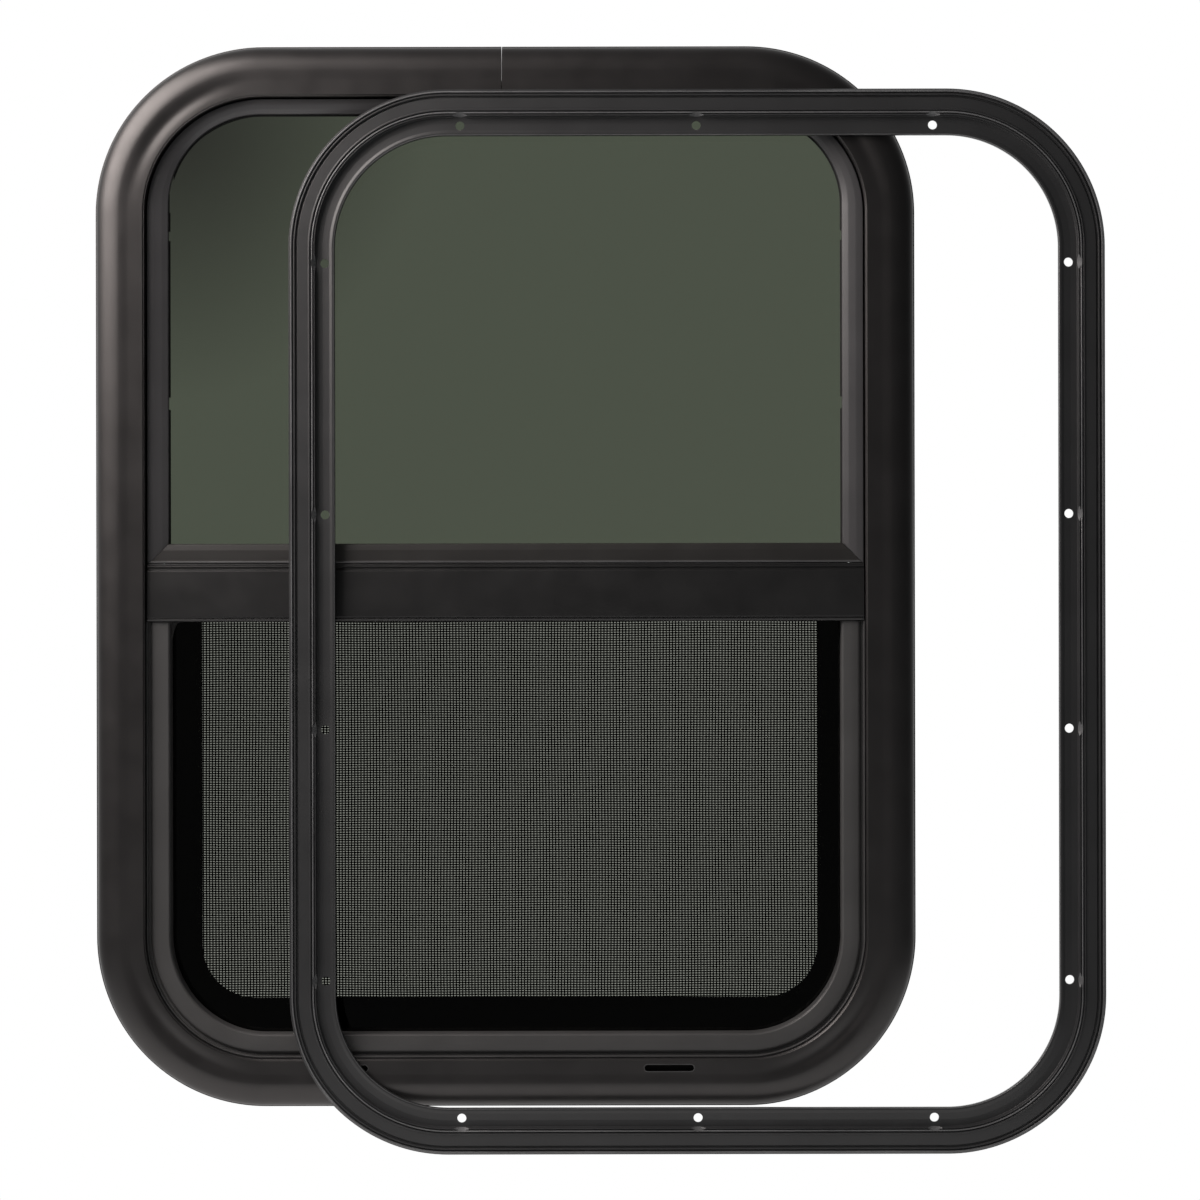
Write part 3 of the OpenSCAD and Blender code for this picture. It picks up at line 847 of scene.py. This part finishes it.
        # Rings round the weep slots, all in the painted highlight colour, for the slots' lit edges.
        lips = prisms("weep_highlight_lips", self.weep_slots(self.lip_more), *self.lip_reach, pair=pair)
        for piece in (obj, lips):
            cut(piece, prisms("weep_cut", self.weep_slots(0.0), *self.weep_reach))
        joined(obj, lips)
        dress(obj, Finishes.FRAME)
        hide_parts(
            "outer_frame_flange", "outer_frame_neck",
            "outer_frame_glazing_leg_runs", "outer_frame_glazing_leg_bends", "outer_frame_rear_leg",
        )
        repaint(Finishes.SPLICE, "frame_splice_plate")
        return [obj]


@dataclass
class Glazing:
    """The fixed pane with its beads, gasket, tape and blocks.

    The bead's section has rows of share across it and height. The sill's has rows of level and
    height, from its lower edge up to the crease, and then down from its upper edge. The mitre cuts
    reach past the arch by mitre_past, and past the sill by sill_past below, outwards and above.
    Notches are rows of level and height. Thin is the part of the gasket's left side that is cut back:
    from and to this far in from its edge, and between two levels. Each cut goes from one height to
    another.
    """

    half_w: float = FRAME_WIDE / 2
    half_h: float = FRAME_TALL / 2
    groove_in: float = 29.9
    clear_side: float = 42.9
    clear_top: float = 39.2
    clear_r: float = 52.8
    sink: float = 1.5
    gasket: float = 0.9
    seat: float = -1.9
    bead: tuple = ((0, 4.3), (0.025, 4.6), (0.34, 4.2), (0.7, 3.0), (0.965, 1.6), (1, 1.1))
    bead_ease: tuple = (0.01, 0.1, 0.1, 0.16, 0.16, 0.1, 0.1, 0.01)
    sill_low: float = 6.7
    sill_high: float = 18.0
    sill_rise: tuple = ((0.0, 4.5), (0.3, 4.9), (1.0, 4.9), (1.3, 4.4), (3.2, 4.35), (7.5, 4.0))
    sill_fall: tuple = ((0.5, 3.2), (0.0, 2.4))
    sill_ease: float = 0.3
    # Width and span of the painted highlight along the sill's lower edge.
    sill_edge: float = 1.3
    sill_highlight: tuple = (4.5, 9.0)
    mitre_gap: float = 0.3
    mitre_past: float = 1.0
    sill_past: tuple = (2.0, 20.0, 5.0)
    lip_section: tuple = ((-0.3, -1.95), (-0.3, -0.2), (0.5, -0.4), (0.9, -1.2), (0.9, -1.95))
    lip_ease: float = 0.15
    thin: tuple = (0.4, 3.0, 210.0, 250.0)
    notches: tuple = ((196.4, 5.5), (99.4, 7.0))
    notch_reach: tuple = (3.0, 2.0)
    arch_cut: tuple = (-3.0, 7.0)
    sill_cut: tuple = (-4.0, 7.0)
    lip_cut: tuple = (-3.0, 2.0)

    def clear(self) -> Loop:
        """The bead's inner outline, on which the gasket sits."""
        side, top = self.clear_side - self.gasket, self.clear_top - self.gasket
        return Loop(2 * (self.half_w - side), 2 * (self.half_h - top), self.clear_r + self.gasket)

    def lowered(self, grid: Array, stations: Array) -> Array:
        """Lowers a grid by sink times sin t, in place, and returns it."""
        grid[..., 2] -= self.sink * MM * np.sin(stations[:, 2:3])
        return grid

    def arch(self) -> Object:
        """The bead over sides and top, between two outlines, with its feet cut to the mitres.

        Returns:
            The bead.
        """
        groove, low, high = self.groove_in, self.sill_low, self.sill_high
        outer = Loop(2 * (self.half_w - groove), 2 * (self.half_h - groove), FRAME_RADIUS - groove)
        inner, stations = self.clear(), outer.arch(low)
        profile = eased([(0, self.seat), *self.bead, (1, self.seat)], self.bead_ease)
        grid = between(outer.outline(stations), inner.outline(inner.arch(low)), profile)
        obj = tube("bead_arch", self.lowered(grid, stations), False)
        x, rise, top = inner.width / 2, high - low + self.mitre_past, high + self.mitre_past
        foot = high - rise
        wedge = [(-x - rise, foot), (x + rise, foot), (x, high), (x, top), (-x, top), (-x, high)]
        cut(obj, prisms("mitre_cut", np.array([wedge]), *self.arch_cut))
        dress(obj, Finishes.BEAD)
        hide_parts("glazing_bead_arch")
        return obj

    def sill(self) -> Object:
        """The level bead, with two faces that meet at a crease and an edge in painted highlight, cut to the
        mitres.

        Returns:
            The bead.
        """
        low, high = self.sill_low, self.sill_high
        rise = [(low + up, f) for up, f in self.sill_rise]
        fall = [(high - down, f) for down, f in self.sill_fall]
        profile = eased([(low, self.seat), *rise, *fall, (high, self.seat)], self.sill_ease)
        # Faces along the lower edge's front take a painted highlight.
        painted_highlight = crests(profile[:, ::-1], 0.0, self.sill_highlight) & (profile[:, 0] < low + self.sill_edge)
        obj = bar("bead_sill", self.half_w - self.groove_in, profile, painted_highlight, (Finishes.SILL, Finishes.PAINTED_EDGE_HIGHLIGHT))
        below, out, above = self.sill_past
        x, reach = self.clear().width / 2 - self.mitre_gap, high - low + below
        far, top, foot = x + self.mitre_gap + reach + out, high + above, high - reach
        right = np.array([(x, high), (x + reach, foot), (far, foot), (far, top), (x - above, top)])
        cut(obj, prisms("mitre_cut", np.stack([right * (-1, 1), right]), *self.sill_cut))
        dress(obj, Finishes.SILL)
        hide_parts("glazing_bead_sill")
        return obj

    def lip(self) -> Object:
        """The rubber lip round the clear glass, with the small notches of its side runs.

        Returns:
            The lip.
        """
        outer, profile = self.clear(), eased(self.lip_section, self.lip_ease, 2)
        stations = outer.arch(self.sill_high)
        obj = tube("pane_gasket", self.lowered(outer.carry(stations, profile), stations), False)
        x, (inward, outward), (start, end, low, high) = outer.width / 2, self.notch_reach, self.thin
        sides = [(s, z, h / 2) for s in (-1, 1) for z, h in self.notches]
        gaps = [(s * (x - inward), s * (x + outward), z - h, z + h) for s, z, h in sides]
        cut(obj, prisms("notch_cut", panels((start - x, end - x, low, high), *gaps), *self.lip_cut))
        dress(obj, Finishes.RUBBER)
        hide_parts("glazing_gasket")
        return obj

    def build(self) -> list:
        """Builds beads and gasket, and dresses the pane with its tape and blocks.

        Returns:
            The pieces.
        """
        repaint(Finishes.PANE, "fixed_glass")
        repaint(Finishes.RUBBER, "fixed_glass_seal", "setting_blocks")
        return [self.arch(), self.sill(), self.lip()]


@dataclass
class MeetingRail:
    """The wide bar between the panes, with a set-back ledge and fine lines.

    Foot and head hold rows of level and height, from the bottom up and from the top down.
    """

    half: float = 207.2
    top: float = 6.5
    bottom: float = -27.1
    foot: tuple = (
        (0.0, -9.6), (0.0, 4.9), (0.5, 5.9), (1.4, 6.3), (1.7, 5.6), (2.2, 5.6), (2.5, 6.3), (3.3, 6.4),
    )
    head: tuple = (
        (4.4, 6.4), (4.0, 6.0), (4.0, 4.9), (3.4, 4.9), (3.1, 4.2), (2.5, 4.2), (2.2, 4.9), (1.5, 4.9),
        (1.2, 4.4), (0.9, 4.4), (0.6, 4.8), (0.0, 4.3), (0.0, -8.2), (-9.5, -8.2), (-9.5, -9.6),
    )
    ease: float = 0.2
    notch: tuple = (198.8, 240.0, -60.0, 40.0)
    notch_reach: tuple = (-12.0, -7.8)

    def build(self) -> list:
        """Builds the rail, notches its back at both ends and dresses it.

        Returns:
            The pieces.
        """
        foot = [(self.bottom + up, f) for up, f in self.foot]
        head = [(self.top - down, f) for down, f in self.head]
        obj = bar("middle_rail", self.half, eased(foot + head, self.ease))
        near, far, low, high = self.notch
        ends = panels((-near, -far, low, high), (near, far, low, high))
        cut(obj, prisms("notch_cut", ends, *self.notch_reach))
        dress(obj, Finishes.RAIL)
        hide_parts("meeting_rail")
        repaint(Finishes.PILE, "rail_pile_strip")
        return [obj]


@dataclass
class Sash:
    """The lower half: surround, sliding pane with its printed border, tracks, pull rail and latch.

    The surround's section is a fine raised edge, a groove, a band that is crowned a little and falls
    steeply, and a toe. The raised edge takes a lighter colour, a painted highlight. A small block with
    a curved side stands at the left end, and heel holds that curve's left side, width and height. The
    print's rim is print_in from the flange's rim.
    """

    loop: Loop = Loop(FRAME_WIDE, FRAME_TALL, FRAME_RADIUS, sink=(0.0, 0.0, 0.0, 2.0))
    top: float = -27.3
    section: tuple = (
        (29.35, -8.0), (29.35, 5.4), (30.0, 5.4), (30.2, 1.9), (31.6, 1.9), (32.0, 3.0), (33.0, 3.9),
        (36.6, 4.2), (41.9, 3.9), (42.8, 2.6), (42.8, -4.4), (42.8, -5.4), (42.8, -5.8), (42.8, -9.6),
        (38.0, -9.6), (38.0, -8.0),
    )
    ease: tuple = (0.1, 0.2, 0.2, 0.2, 0.2, 0.4, 0.8, 1.3, 0.4, 0.4, 0.5, 0.3, 0.3, 0.1, 0.1, 0.1)
    ease_steps: int = 6
    # Where the painted highlight lies: above this height and between these distances in.
    highlight_above: float = 5.0
    painted_highlight: tuple = (29.0, 30.4)
    heel: tuple = (-194.7, 4.8, 19.0)
    heel_back: float = -195.6
    heel_reach: tuple = (-9.6, -5.75)
    heel_steps: int = 16
    print_in: float = 31.6
    print_rim_r: float = 62.9
    print_half: float = 179.3
    print_x: float = 1.7
    print_low: float = -246.5
    print_r: float = 31.0
    print_top: float = 2.9
    print_faces: tuple = (-15.12, -15.2)

    def surround(self) -> Object:
        """The surround, with the curved heel at its left end.

        Returns:
            The surround.
        """
        profile = eased(self.section, self.ease, self.ease_steps)
        # Faces on the fine raised edge take a painted highlight.
        painted_highlight = crests(profile, self.highlight_above, self.painted_highlight)
        grid = self.loop.carry(self.loop.trough(self.top), profile)
        obj = tube("sash_surround", grid, False, painted_highlight, (Finishes.SURROUND, Finishes.PAINTED_EDGE_HIGHLIGHT))
        x, width, height = self.heel
        t = np.linspace(0, math.pi / 2, self.heel_steps)
        edge = np.stack([x + width * (1 - np.sin(t)), self.top - height * (1 - np.cos(t))], 1)[::-1]
        heel = np.concatenate([edge, [(self.heel_back, self.top), (self.heel_back, self.top - height)]])
        joined(obj, prisms("corner_heel", heel[None], *self.heel_reach))
        dress(obj, Finishes.SURROUND)
        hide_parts("sash_surround_runs", "sash_surround_bends")
        return obj

    def border(self) -> Object:
        """The black print on the back of the pane, a flat ring between two outlines.

        Returns:
            The border.
        """
        less = 2 * self.print_in
        outer = Loop(FRAME_WIDE - less, FRAME_TALL - less, self.print_rim_r)
        inner = Loop(2 * self.print_half, 2 * -self.print_low, self.print_r, self.print_x)
        front, back = self.print_faces
        profile = np.array([(0, front), (1, front), (1, back), (0, back)])
        rims = (loop.outline(loop.trough(self.print_top)) for loop in (outer, inner))
        obj = tube("sash_printed_border", between(*rims, profile), False)
        dress(obj, Finishes.PRINT)
        return obj

    def build(self) -> list:
        """Builds the surround and border, and dresses the rest.

        Returns:
            The pieces.
        """
        repaint(Finishes.SASH, "sash_glass")
        repaint(Finishes.TRACK, "sash_track_left", "sash_track_right", "sash_latch")
        repaint(Finishes.RAIL, "sash_pull_rail")
        repaint(Finishes.RUBBER, "sash_bulb_seal")
        return [self.surround(), self.border()]


@dataclass
class InsectScreen:
    """The screen: frame, spline, lift tabs, and cloth made of its own threads.

    Threads wander by waves, whose rows are size, length across, length up and phase. They are held
    still within hold of the cloth's rim. Weave is how deep the level threads lie behind the upright
    ones, as a share of their thickness.
    """

    half: float = 184.5
    low: float = -254.0
    high: float = -23.0
    radius: float = 42.0
    pitch_x: float = 1.81
    pitch_z: float = 1.41
    thread: float = 0.8
    thin: float = 0.14
    front: float = -25.62
    weave: float = 0.7
    margin: float = 1.0
    top_margin: float = 0.5
    segments: int = 18
    waves: tuple = ((0.22, 47.0, 31.0, 0.0), (0.16, 21.0, -38.0, 1.3))
    hold: float = 12.0
    sharp: float = 60.0
    box: Loop = Loop(FRAME_WIDE, FRAME_TALL, 82.5)
    bar_in: float = 43.5
    bar_top: float = -14.0
    bar_high: float = 12.0
    bar_faces: tuple = (-18.35, -25.6)
    bar_section: tuple = (
        (34.6, -18.35), (34.6, -19.6), (43.5, -19.6), (43.5, -25.6), (49.4, -25.6), (49.4, -23.3),
        (52.6, -23.3), (52.6, -25.6), (55.5, -25.6), (55.5, -18.35),
    )
    bar_ease: tuple = (0.35, 0.4)
    bead: tuple = (51.0, -24.85, 1.45)
    bead_ribs: tuple = (5, 0.05)
    bead_steps: int = 20

    def ends(self, at: Array, upright: bool) -> tuple:
        """Where threads begin and end, on a rectangle whose lower corners are round.

        A thread that is d into a corner's square stops radius - sqrt(radius^2 - d^2) short of its side.

        Args:
            at: place of each thread across, in mm.
            upright: whether the threads run up the window.

        Returns:
            The beginnings and the ends, in mm.
        """
        corner = self.half - self.radius if upright else -(self.low + self.radius)
        into = np.maximum((np.abs(at) if upright else -at) - corner, 0)
        reach = np.sqrt(np.maximum(self.radius**2 - into**2, 0))
        if upright:
            return self.low + self.radius - reach, np.full_like(at, self.high)
        return -(self.half - self.radius + reach), self.half - self.radius + reach

    def lines(self, at: Array, upright: bool, f: float) -> tuple:
        """Threads as square bars that wander a little.

        A bar's middle is at + w across, where w is the sum of size * sin(x/across + z/up + phase), so
        that neighbouring threads wander together and the cloth stays even.

        Args:
            at: place of each thread across, in mm.
            upright: whether the threads run up the window.
            f: height of their front face.

        Returns:
            Points in metres and the quads' corners.
        """
        a, b = self.ends(at, upright)
        along = a[:, None] + (b - a)[:, None] * np.linspace(0, 1, self.segments + 1)[None]
        across = np.broadcast_to(at[:, None], along.shape)
        x, z = (across, along) if upright else (along, across)
        wander = sum(size * np.sin(x / p + z / q + phase) for size, p, q, phase in self.waves)
        held = np.clip(np.minimum(self.half - np.abs(x), z - self.low) / self.hold, 0, 1)
        h = self.thread / 2
        square = np.array([[-h, 0], [h, 0], [h, -self.thin], [-h, -self.thin]])
        c = (across + wander * held)[..., None] + square[:, 0]
        g = np.broadcast_to(along[..., None], c.shape)
        y = np.broadcast_to(-(f + square[:, 1]), c.shape)
        points = np.stack([c, y, g] if upright else [g, y, c], -1) * MM
        idx = np.arange(points[..., 0].size).reshape(points.shape[:3])
        nxt = np.roll(idx, -1, 2)
        quads = np.stack([idx[:, :-1], nxt[:, :-1], nxt[:, 1:], idx[:, 1:]], -1).reshape(-1, 4)
        caps = np.concatenate([idx[:, 0], idx[:, -1, ::-1]])
        return points.reshape(-1, 3), np.concatenate([quads, caps])

    def cloth(self) -> Object:
        """The woven cloth, as upright threads in front of level ones.

        Returns:
            The cloth.
        """
        count = int((self.half - self.margin) // self.pitch_x)
        xs = (np.arange(-count, count) + 0.5) * self.pitch_x
        zs = np.arange(self.low + self.margin, self.high - self.top_margin, self.pitch_z)
        up, up_faces = self.lines(xs, True, self.front)
        level, level_faces = self.lines(zs, False, self.front - self.thin * self.weave)
        faces = np.concatenate([up_faces, level_faces + len(up)]).tolist()
        obj = settle(object_from("screen_cloth", np.concatenate([up, level]), faces), self.sharp)
        dress(obj, Finishes.THREAD)
        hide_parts("screen_mesh")
        return obj

    def bars(self) -> Object:
        """The screen's frame: a boxed bar with a fin towards the legs, and a plain bar at the top.

        Returns:
            The frame.
        """
        (side_ease, top_ease), (back, face), top = self.bar_ease, self.bar_faces, self.bar_top
        section, low = eased(self.bar_section, side_ease), top - self.bar_high
        obj = tube("screen_bars", self.box.carry(self.box.trough(top - self.margin), section), False)
        level = eased([(top, back), (top, face), (low, face), (low, back)], top_ease)
        joined(obj, bar("screen_top_bar", self.box.width / 2 - self.bar_in, level))
        dress(obj, Finishes.SCREEN)
        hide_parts("screen_frame")
        return obj

    def spline(self) -> Object:
        """The ribbed rubber cord in its groove: a circle whose radius swells 1 + depth cos(ribs t).

        Returns:
            The spline.
        """
        (u, f, radius), (ribs, depth) = self.bead, self.bead_ribs
        t = np.linspace(0, 2 * math.pi, self.bead_steps, endpoint=False)
        r = radius * (1 + depth * np.cos(ribs * t))
        section = np.stack([u + r * np.cos(t), f - r * np.sin(t)], 1)
        level = self.bar_top - self.bar_high - self.margin
        obj = tube("screen_cord_bead", self.box.carry(self.box.trough(level), section), False)
        dress(obj, Finishes.RUBBER)
        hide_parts("screen_spline")
        return obj

    def build(self) -> list:
        """Builds the cloth, bars and spline, and dresses the tabs.

        Returns:
            The pieces.
        """
        repaint(Finishes.TRACK, "screen_lift_tabs")
        return [self.cloth(), self.bars(), self.spline()]


@dataclass
class ClampRing:
    """The screw-on ring: ribbed rim, flat face, twin rib, and a lip with fourteen holes.

    Rows of the section are distance in from the rim and height. The ridges, which are the front from
    the rim to the twin rib's inner side, are measured down from the highest of them. The screw lip
    and the hollow in the back are measured up from the back.
    """

    loop: Loop = Loop(469.5, 612.5, 91.0, 110.5, -27.4)
    back: float = 11.3
    thick: float = 6.2
    ridges: tuple = (
        (0.0, 1.7), (0.6, 1.2), (1.2, 0.0), (2.0, 0.0), (2.3, 1.2), (2.8, 1.2), (3.1, 0.1), (3.8, 0.1),
        (4.1, 1.7), (4.9, 1.7), (5.2, 0.8), (11.4, 0.8), (11.7, 0.2), (12.4, 0.2), (12.7, 1.1), (13.0, 1.1),
        (13.3, 0.0), (14.0, 0.0), (14.2, 1.1), (14.5, 1.1), (14.7, 0.4), (15.3, 0.5),
    )
    screw_lip: tuple = (
        (15.8, 2.4), (19.5, 2.35), (23.4, 2.75), (24.9, 3.3), (26.1, 3.3), (26.5, 2.5), (26.5, 0.0),
        (25.1, 0.0), (25.1, 1.0), (15.8, 1.0), (15.8, 0.0),
    )
    hollow: tuple = ((13.0, 0.0), (13.0, 3.5), (1.4, 3.5), (1.4, 0.0))
    ease: float = 0.22
    # Spans and heights of the faces that take the painted highlight.
    highlight_ridges: tuple = ((1.2, 2.0), (13.3, 14.0))
    highlight_lip: tuple = (25.6, 26.2)
    highlight_drop: float = 0.75
    highlight_rise: float = 3.1
    hole: float = 2.6
    hole_in: float = 20.7
    hole_reach: tuple = (-1.0, 4.0)
    head: float = 3.9
    head_in: float = 19.6
    head_points: int = 48
    head_reach: tuple = (2.75, 9.0)
    head_grow: float = 1.2
    sides: tuple = (206.5, 61.8)
    ends: float = 136.0
    sharp: float = 30.0

    def section(self) -> Array:
        """Section of the ring with its ridges, eased at every corner.

        Returns:
            Rows of u and f, in mm.
        """
        ridges = [(u, self.thick - drop) for u, drop in self.ridges]
        profile = eased([(0.0, 0.0), *ridges, *self.screw_lip, *self.hollow], self.ease)
        profile[:, 1] += self.back
        return profile

    def places(self, inside: float) -> Array:
        """Centres of the holes, or of their notches.

        Args:
            inside: distance in from the rim, in mm.

        Returns:
            Rows of x and z, in mm.
        """
        w, h = self.loop.width / 2 - inside, self.loop.height / 2 - inside
        far, near = self.sides
        side = [(s * w, z) for s in (-1, 1) for z in (-far, -near, near, far)]
        end = [(x, s * h) for s in (-1, 1) for x in (-self.ends, 0.0, self.ends)]
        return np.array(side + end) + [self.loop.x, self.loop.z]

    def build(self) -> list:
        """Builds the ring, cuts its holes and their conical notches, and dresses it with its painted
        highlight.

        Returns:
            The pieces.
        """
        profile, pair = self.section(), (Finishes.RING, Finishes.PAINTED_CREST_HIGHLIGHT)
        # Faces that take the painted highlight: crests of two ridges and the lip's inner edge.
        ridges = crests(profile, self.back + self.thick - self.highlight_drop, *self.highlight_ridges)
        painted_highlight = ridges | crests(profile, self.back + self.highlight_rise, self.highlight_lip)
        obj = tube("clamp_ring", self.loop.carry(self.loop.ring(), profile), True, painted_highlight, pair)
        low, high = (self.back + reach for reach in self.hole_reach)
        holes = prisms("hole_cut", discs(self.places(self.hole_in), self.hole), low, high)
        low, high = (self.back + reach for reach in self.head_reach)
        outlines = discs(self.places(self.head_in), self.head, self.head_points)
        # The notch tool gives the notches' walls the painted highlight.
        cut(obj, prisms("head_cut", outlines, low, high, self.head_grow, pair), holes, sharp=self.sharp)
        dress(obj, Finishes.RING)
        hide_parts("trim_ring")
        return [obj]


# The studio


@dataclass
class Studio:
    """Camera, soft lamps, white surroundings and a pale floor, in metres.

    Front_to_back and left_to_right hold two directions and the brightness in gloss at each. Lamps
    hold name, place, size, watts and colour.
    """

    eye: tuple = (0.0546, -2.0, -0.0149)
    roll: float = 0.00194
    lens: float = 103.54
    sensor: float = 36.0
    clip: tuple = (0.05, 60.0)
    aim: tuple = (0.05, 0.0, 0.0)
    lamps: tuple = (
        ("key", (-0.64, -0.5, 0.6), 0.72, 15.0, (1.0, 0.92, 0.89)),
        ("left", (-0.75, -0.28, 0.42), 0.58, 1.8, (1.0, 0.90, 0.86)),
    )
    ambient: float = 0.2
    front_to_back: tuple = (-0.35, 0.95, 0.035, 1.0)
    left_to_right: tuple = (-1.0, 1.0, 1.2, 0.7)
    floor_z: float = -0.62
    floor_r: float = 1.3
    floor_x: float = 0.05
    floor_points: int = 96
    floor_pale: float = 0.82
    floor_glow: float = 0.42
    floor_white_from: float = 0.6

    def camera(self) -> None:
        """Sets a camera straight in front, at the photograph's place."""
        cam = bpy.data.objects.new("camera", bpy.data.cameras.new("camera"))
        bpy.context.scene.collection.objects.link(cam)
        cam.location = self.eye
        cam.rotation_euler = (math.pi / 2, self.roll, 0)
        cam.data.lens, cam.data.sensor_width = self.lens, self.sensor
        cam.data.clip_start, cam.data.clip_end = self.clip
        bpy.context.scene.camera = cam

    def lamp(self, name: str, place: tuple, size: float, power: float, colour: tuple) -> None:
        """Sets a square soft lamp that is aimed at the window's middle.

        Args:
            name: its name.
            place: its place.
            size: its side.
            power: its watts.
            colour: its colour.
        """
        data = bpy.data.lights.new(name, "AREA")
        data.shape, data.size, data.energy, data.color = "SQUARE", size, power, colour
        obj = bpy.data.objects.new(name, data)
        bpy.context.scene.collection.objects.link(obj)
        obj.location = place
        obj.rotation_euler = (Vector(self.aim) - Vector(place)).to_track_quat("-Z", "Y").to_euler()

    def world(self) -> None:
        """Sets a world that is white to the camera and through glass.

        In gloss it is white behind the window and dim before it, and a little brighter on the left.
        """
        world = bpy.data.worlds.new("studio")
        bpy.context.scene.world = world
        n = Nodes(world)
        out = n.add("ShaderNodeOutputWorld")
        sky = n.add("ShaderNodeBackground", Color=(1, 1, 1, 1))
        path = n.add("ShaderNodeLightPath").outputs
        split = n.add("ShaderNodeSeparateXYZ")
        n.join(n.add("ShaderNodeTexCoord").outputs["Generated"], split.inputs[0])
        depth, width = self.front_to_back, self.left_to_right
        rise = n.ramp(split.outputs["Y"], *depth[:2], depth[2:], "SMOOTHSTEP")
        lean = n.ramp(split.outputs["X"], *width[:2], width[2:])
        straight = n.math("LESS_THAN", path["Glossy Depth"], UNMIRRORED)
        through = n.math("MULTIPLY", straight, path["Is Transmission Ray"])
        seen = n.math("MAXIMUM", path["Is Camera Ray"], through)
        mirrored = n.math("MAXIMUM", path["Is Glossy Ray"], path["Is Transmission Ray"])
        gloss = n.blend(mirrored, self.ambient, n.math("MULTIPLY", rise, lean))
        n.join(n.blend(seen, gloss, 1.0), sky.inputs["Strength"])
        n.join(sky.outputs[0], out.inputs[0])

    def floor(self) -> None:
        """Lays a pale round floor below the window, which turns white away from the shadow.

        To the camera and in gloss it also glows, so that it is white there but for the shadow.
        """
        t = np.linspace(0, 2 * math.pi, self.floor_points, endpoint=False)
        x, y = self.floor_r * np.cos(t) + self.floor_x, self.floor_r * np.sin(t)
        verts = np.stack([x, y, np.full_like(t, self.floor_z)], -1)
        obj = object_from("floor", verts, [list(range(self.floor_points))])
        mat = bpy.data.materials.new("floor_white")
        n = Nodes(mat)
        out = n.add("ShaderNodeOutputMaterial")
        pale = n.add("ShaderNodeBsdfDiffuse", Color=(self.floor_pale, self.floor_pale, self.floor_pale, 1))
        glow, white = n.add("ShaderNodeEmission"), n.add("ShaderNodeEmission")
        both, fade = n.add("ShaderNodeAddShader"), n.add("ShaderNodeMixShader")
        path = n.add("ShaderNodeLightPath").outputs
        away = n.away((self.floor_x, 0.0, self.floor_z))
        seen = n.math("MAXIMUM", path["Is Camera Ray"], path["Is Glossy Ray"])
        n.join(n.math("MULTIPLY", seen, self.floor_glow), glow.inputs["Strength"])
        n.join(pale.outputs[0], both.inputs[0])
        n.join(glow.outputs[0], both.inputs[1])
        n.join(n.ramp(away, self.floor_white_from, self.floor_r, (0.0, 1.0)), fade.inputs[0])
        n.join(both.outputs[0], fade.inputs[1])
        n.join(white.outputs[0], fade.inputs[2])
        n.join(fade.outputs[0], out.inputs["Surface"])
        obj.data.materials.append(mat)

    def build(self) -> None:
        """Sets up the studio."""
        self.camera()
        self.world()
        self.floor()
        for values in self.lamps:
            self.lamp(*values)
        bpy.context.scene.view_settings.view_transform = "Standard"


def main() -> None:
    """Builds the studio and the window's sub-assemblies in order, and reports each piece."""
    logging.basicConfig(level=logging.INFO, format="%(name)s %(message)s")
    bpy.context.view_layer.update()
    Studio().build()
    for part in (OuterFrame(), Glazing(), MeetingRail(), Sash(), InsectScreen(), ClampRing()):
        for piece in part.build():
            LOG.info("%s: %s, %d faces", type(part).__name__, piece.name, len(piece.data.polygons))


if __name__ == "__main__":
    main()
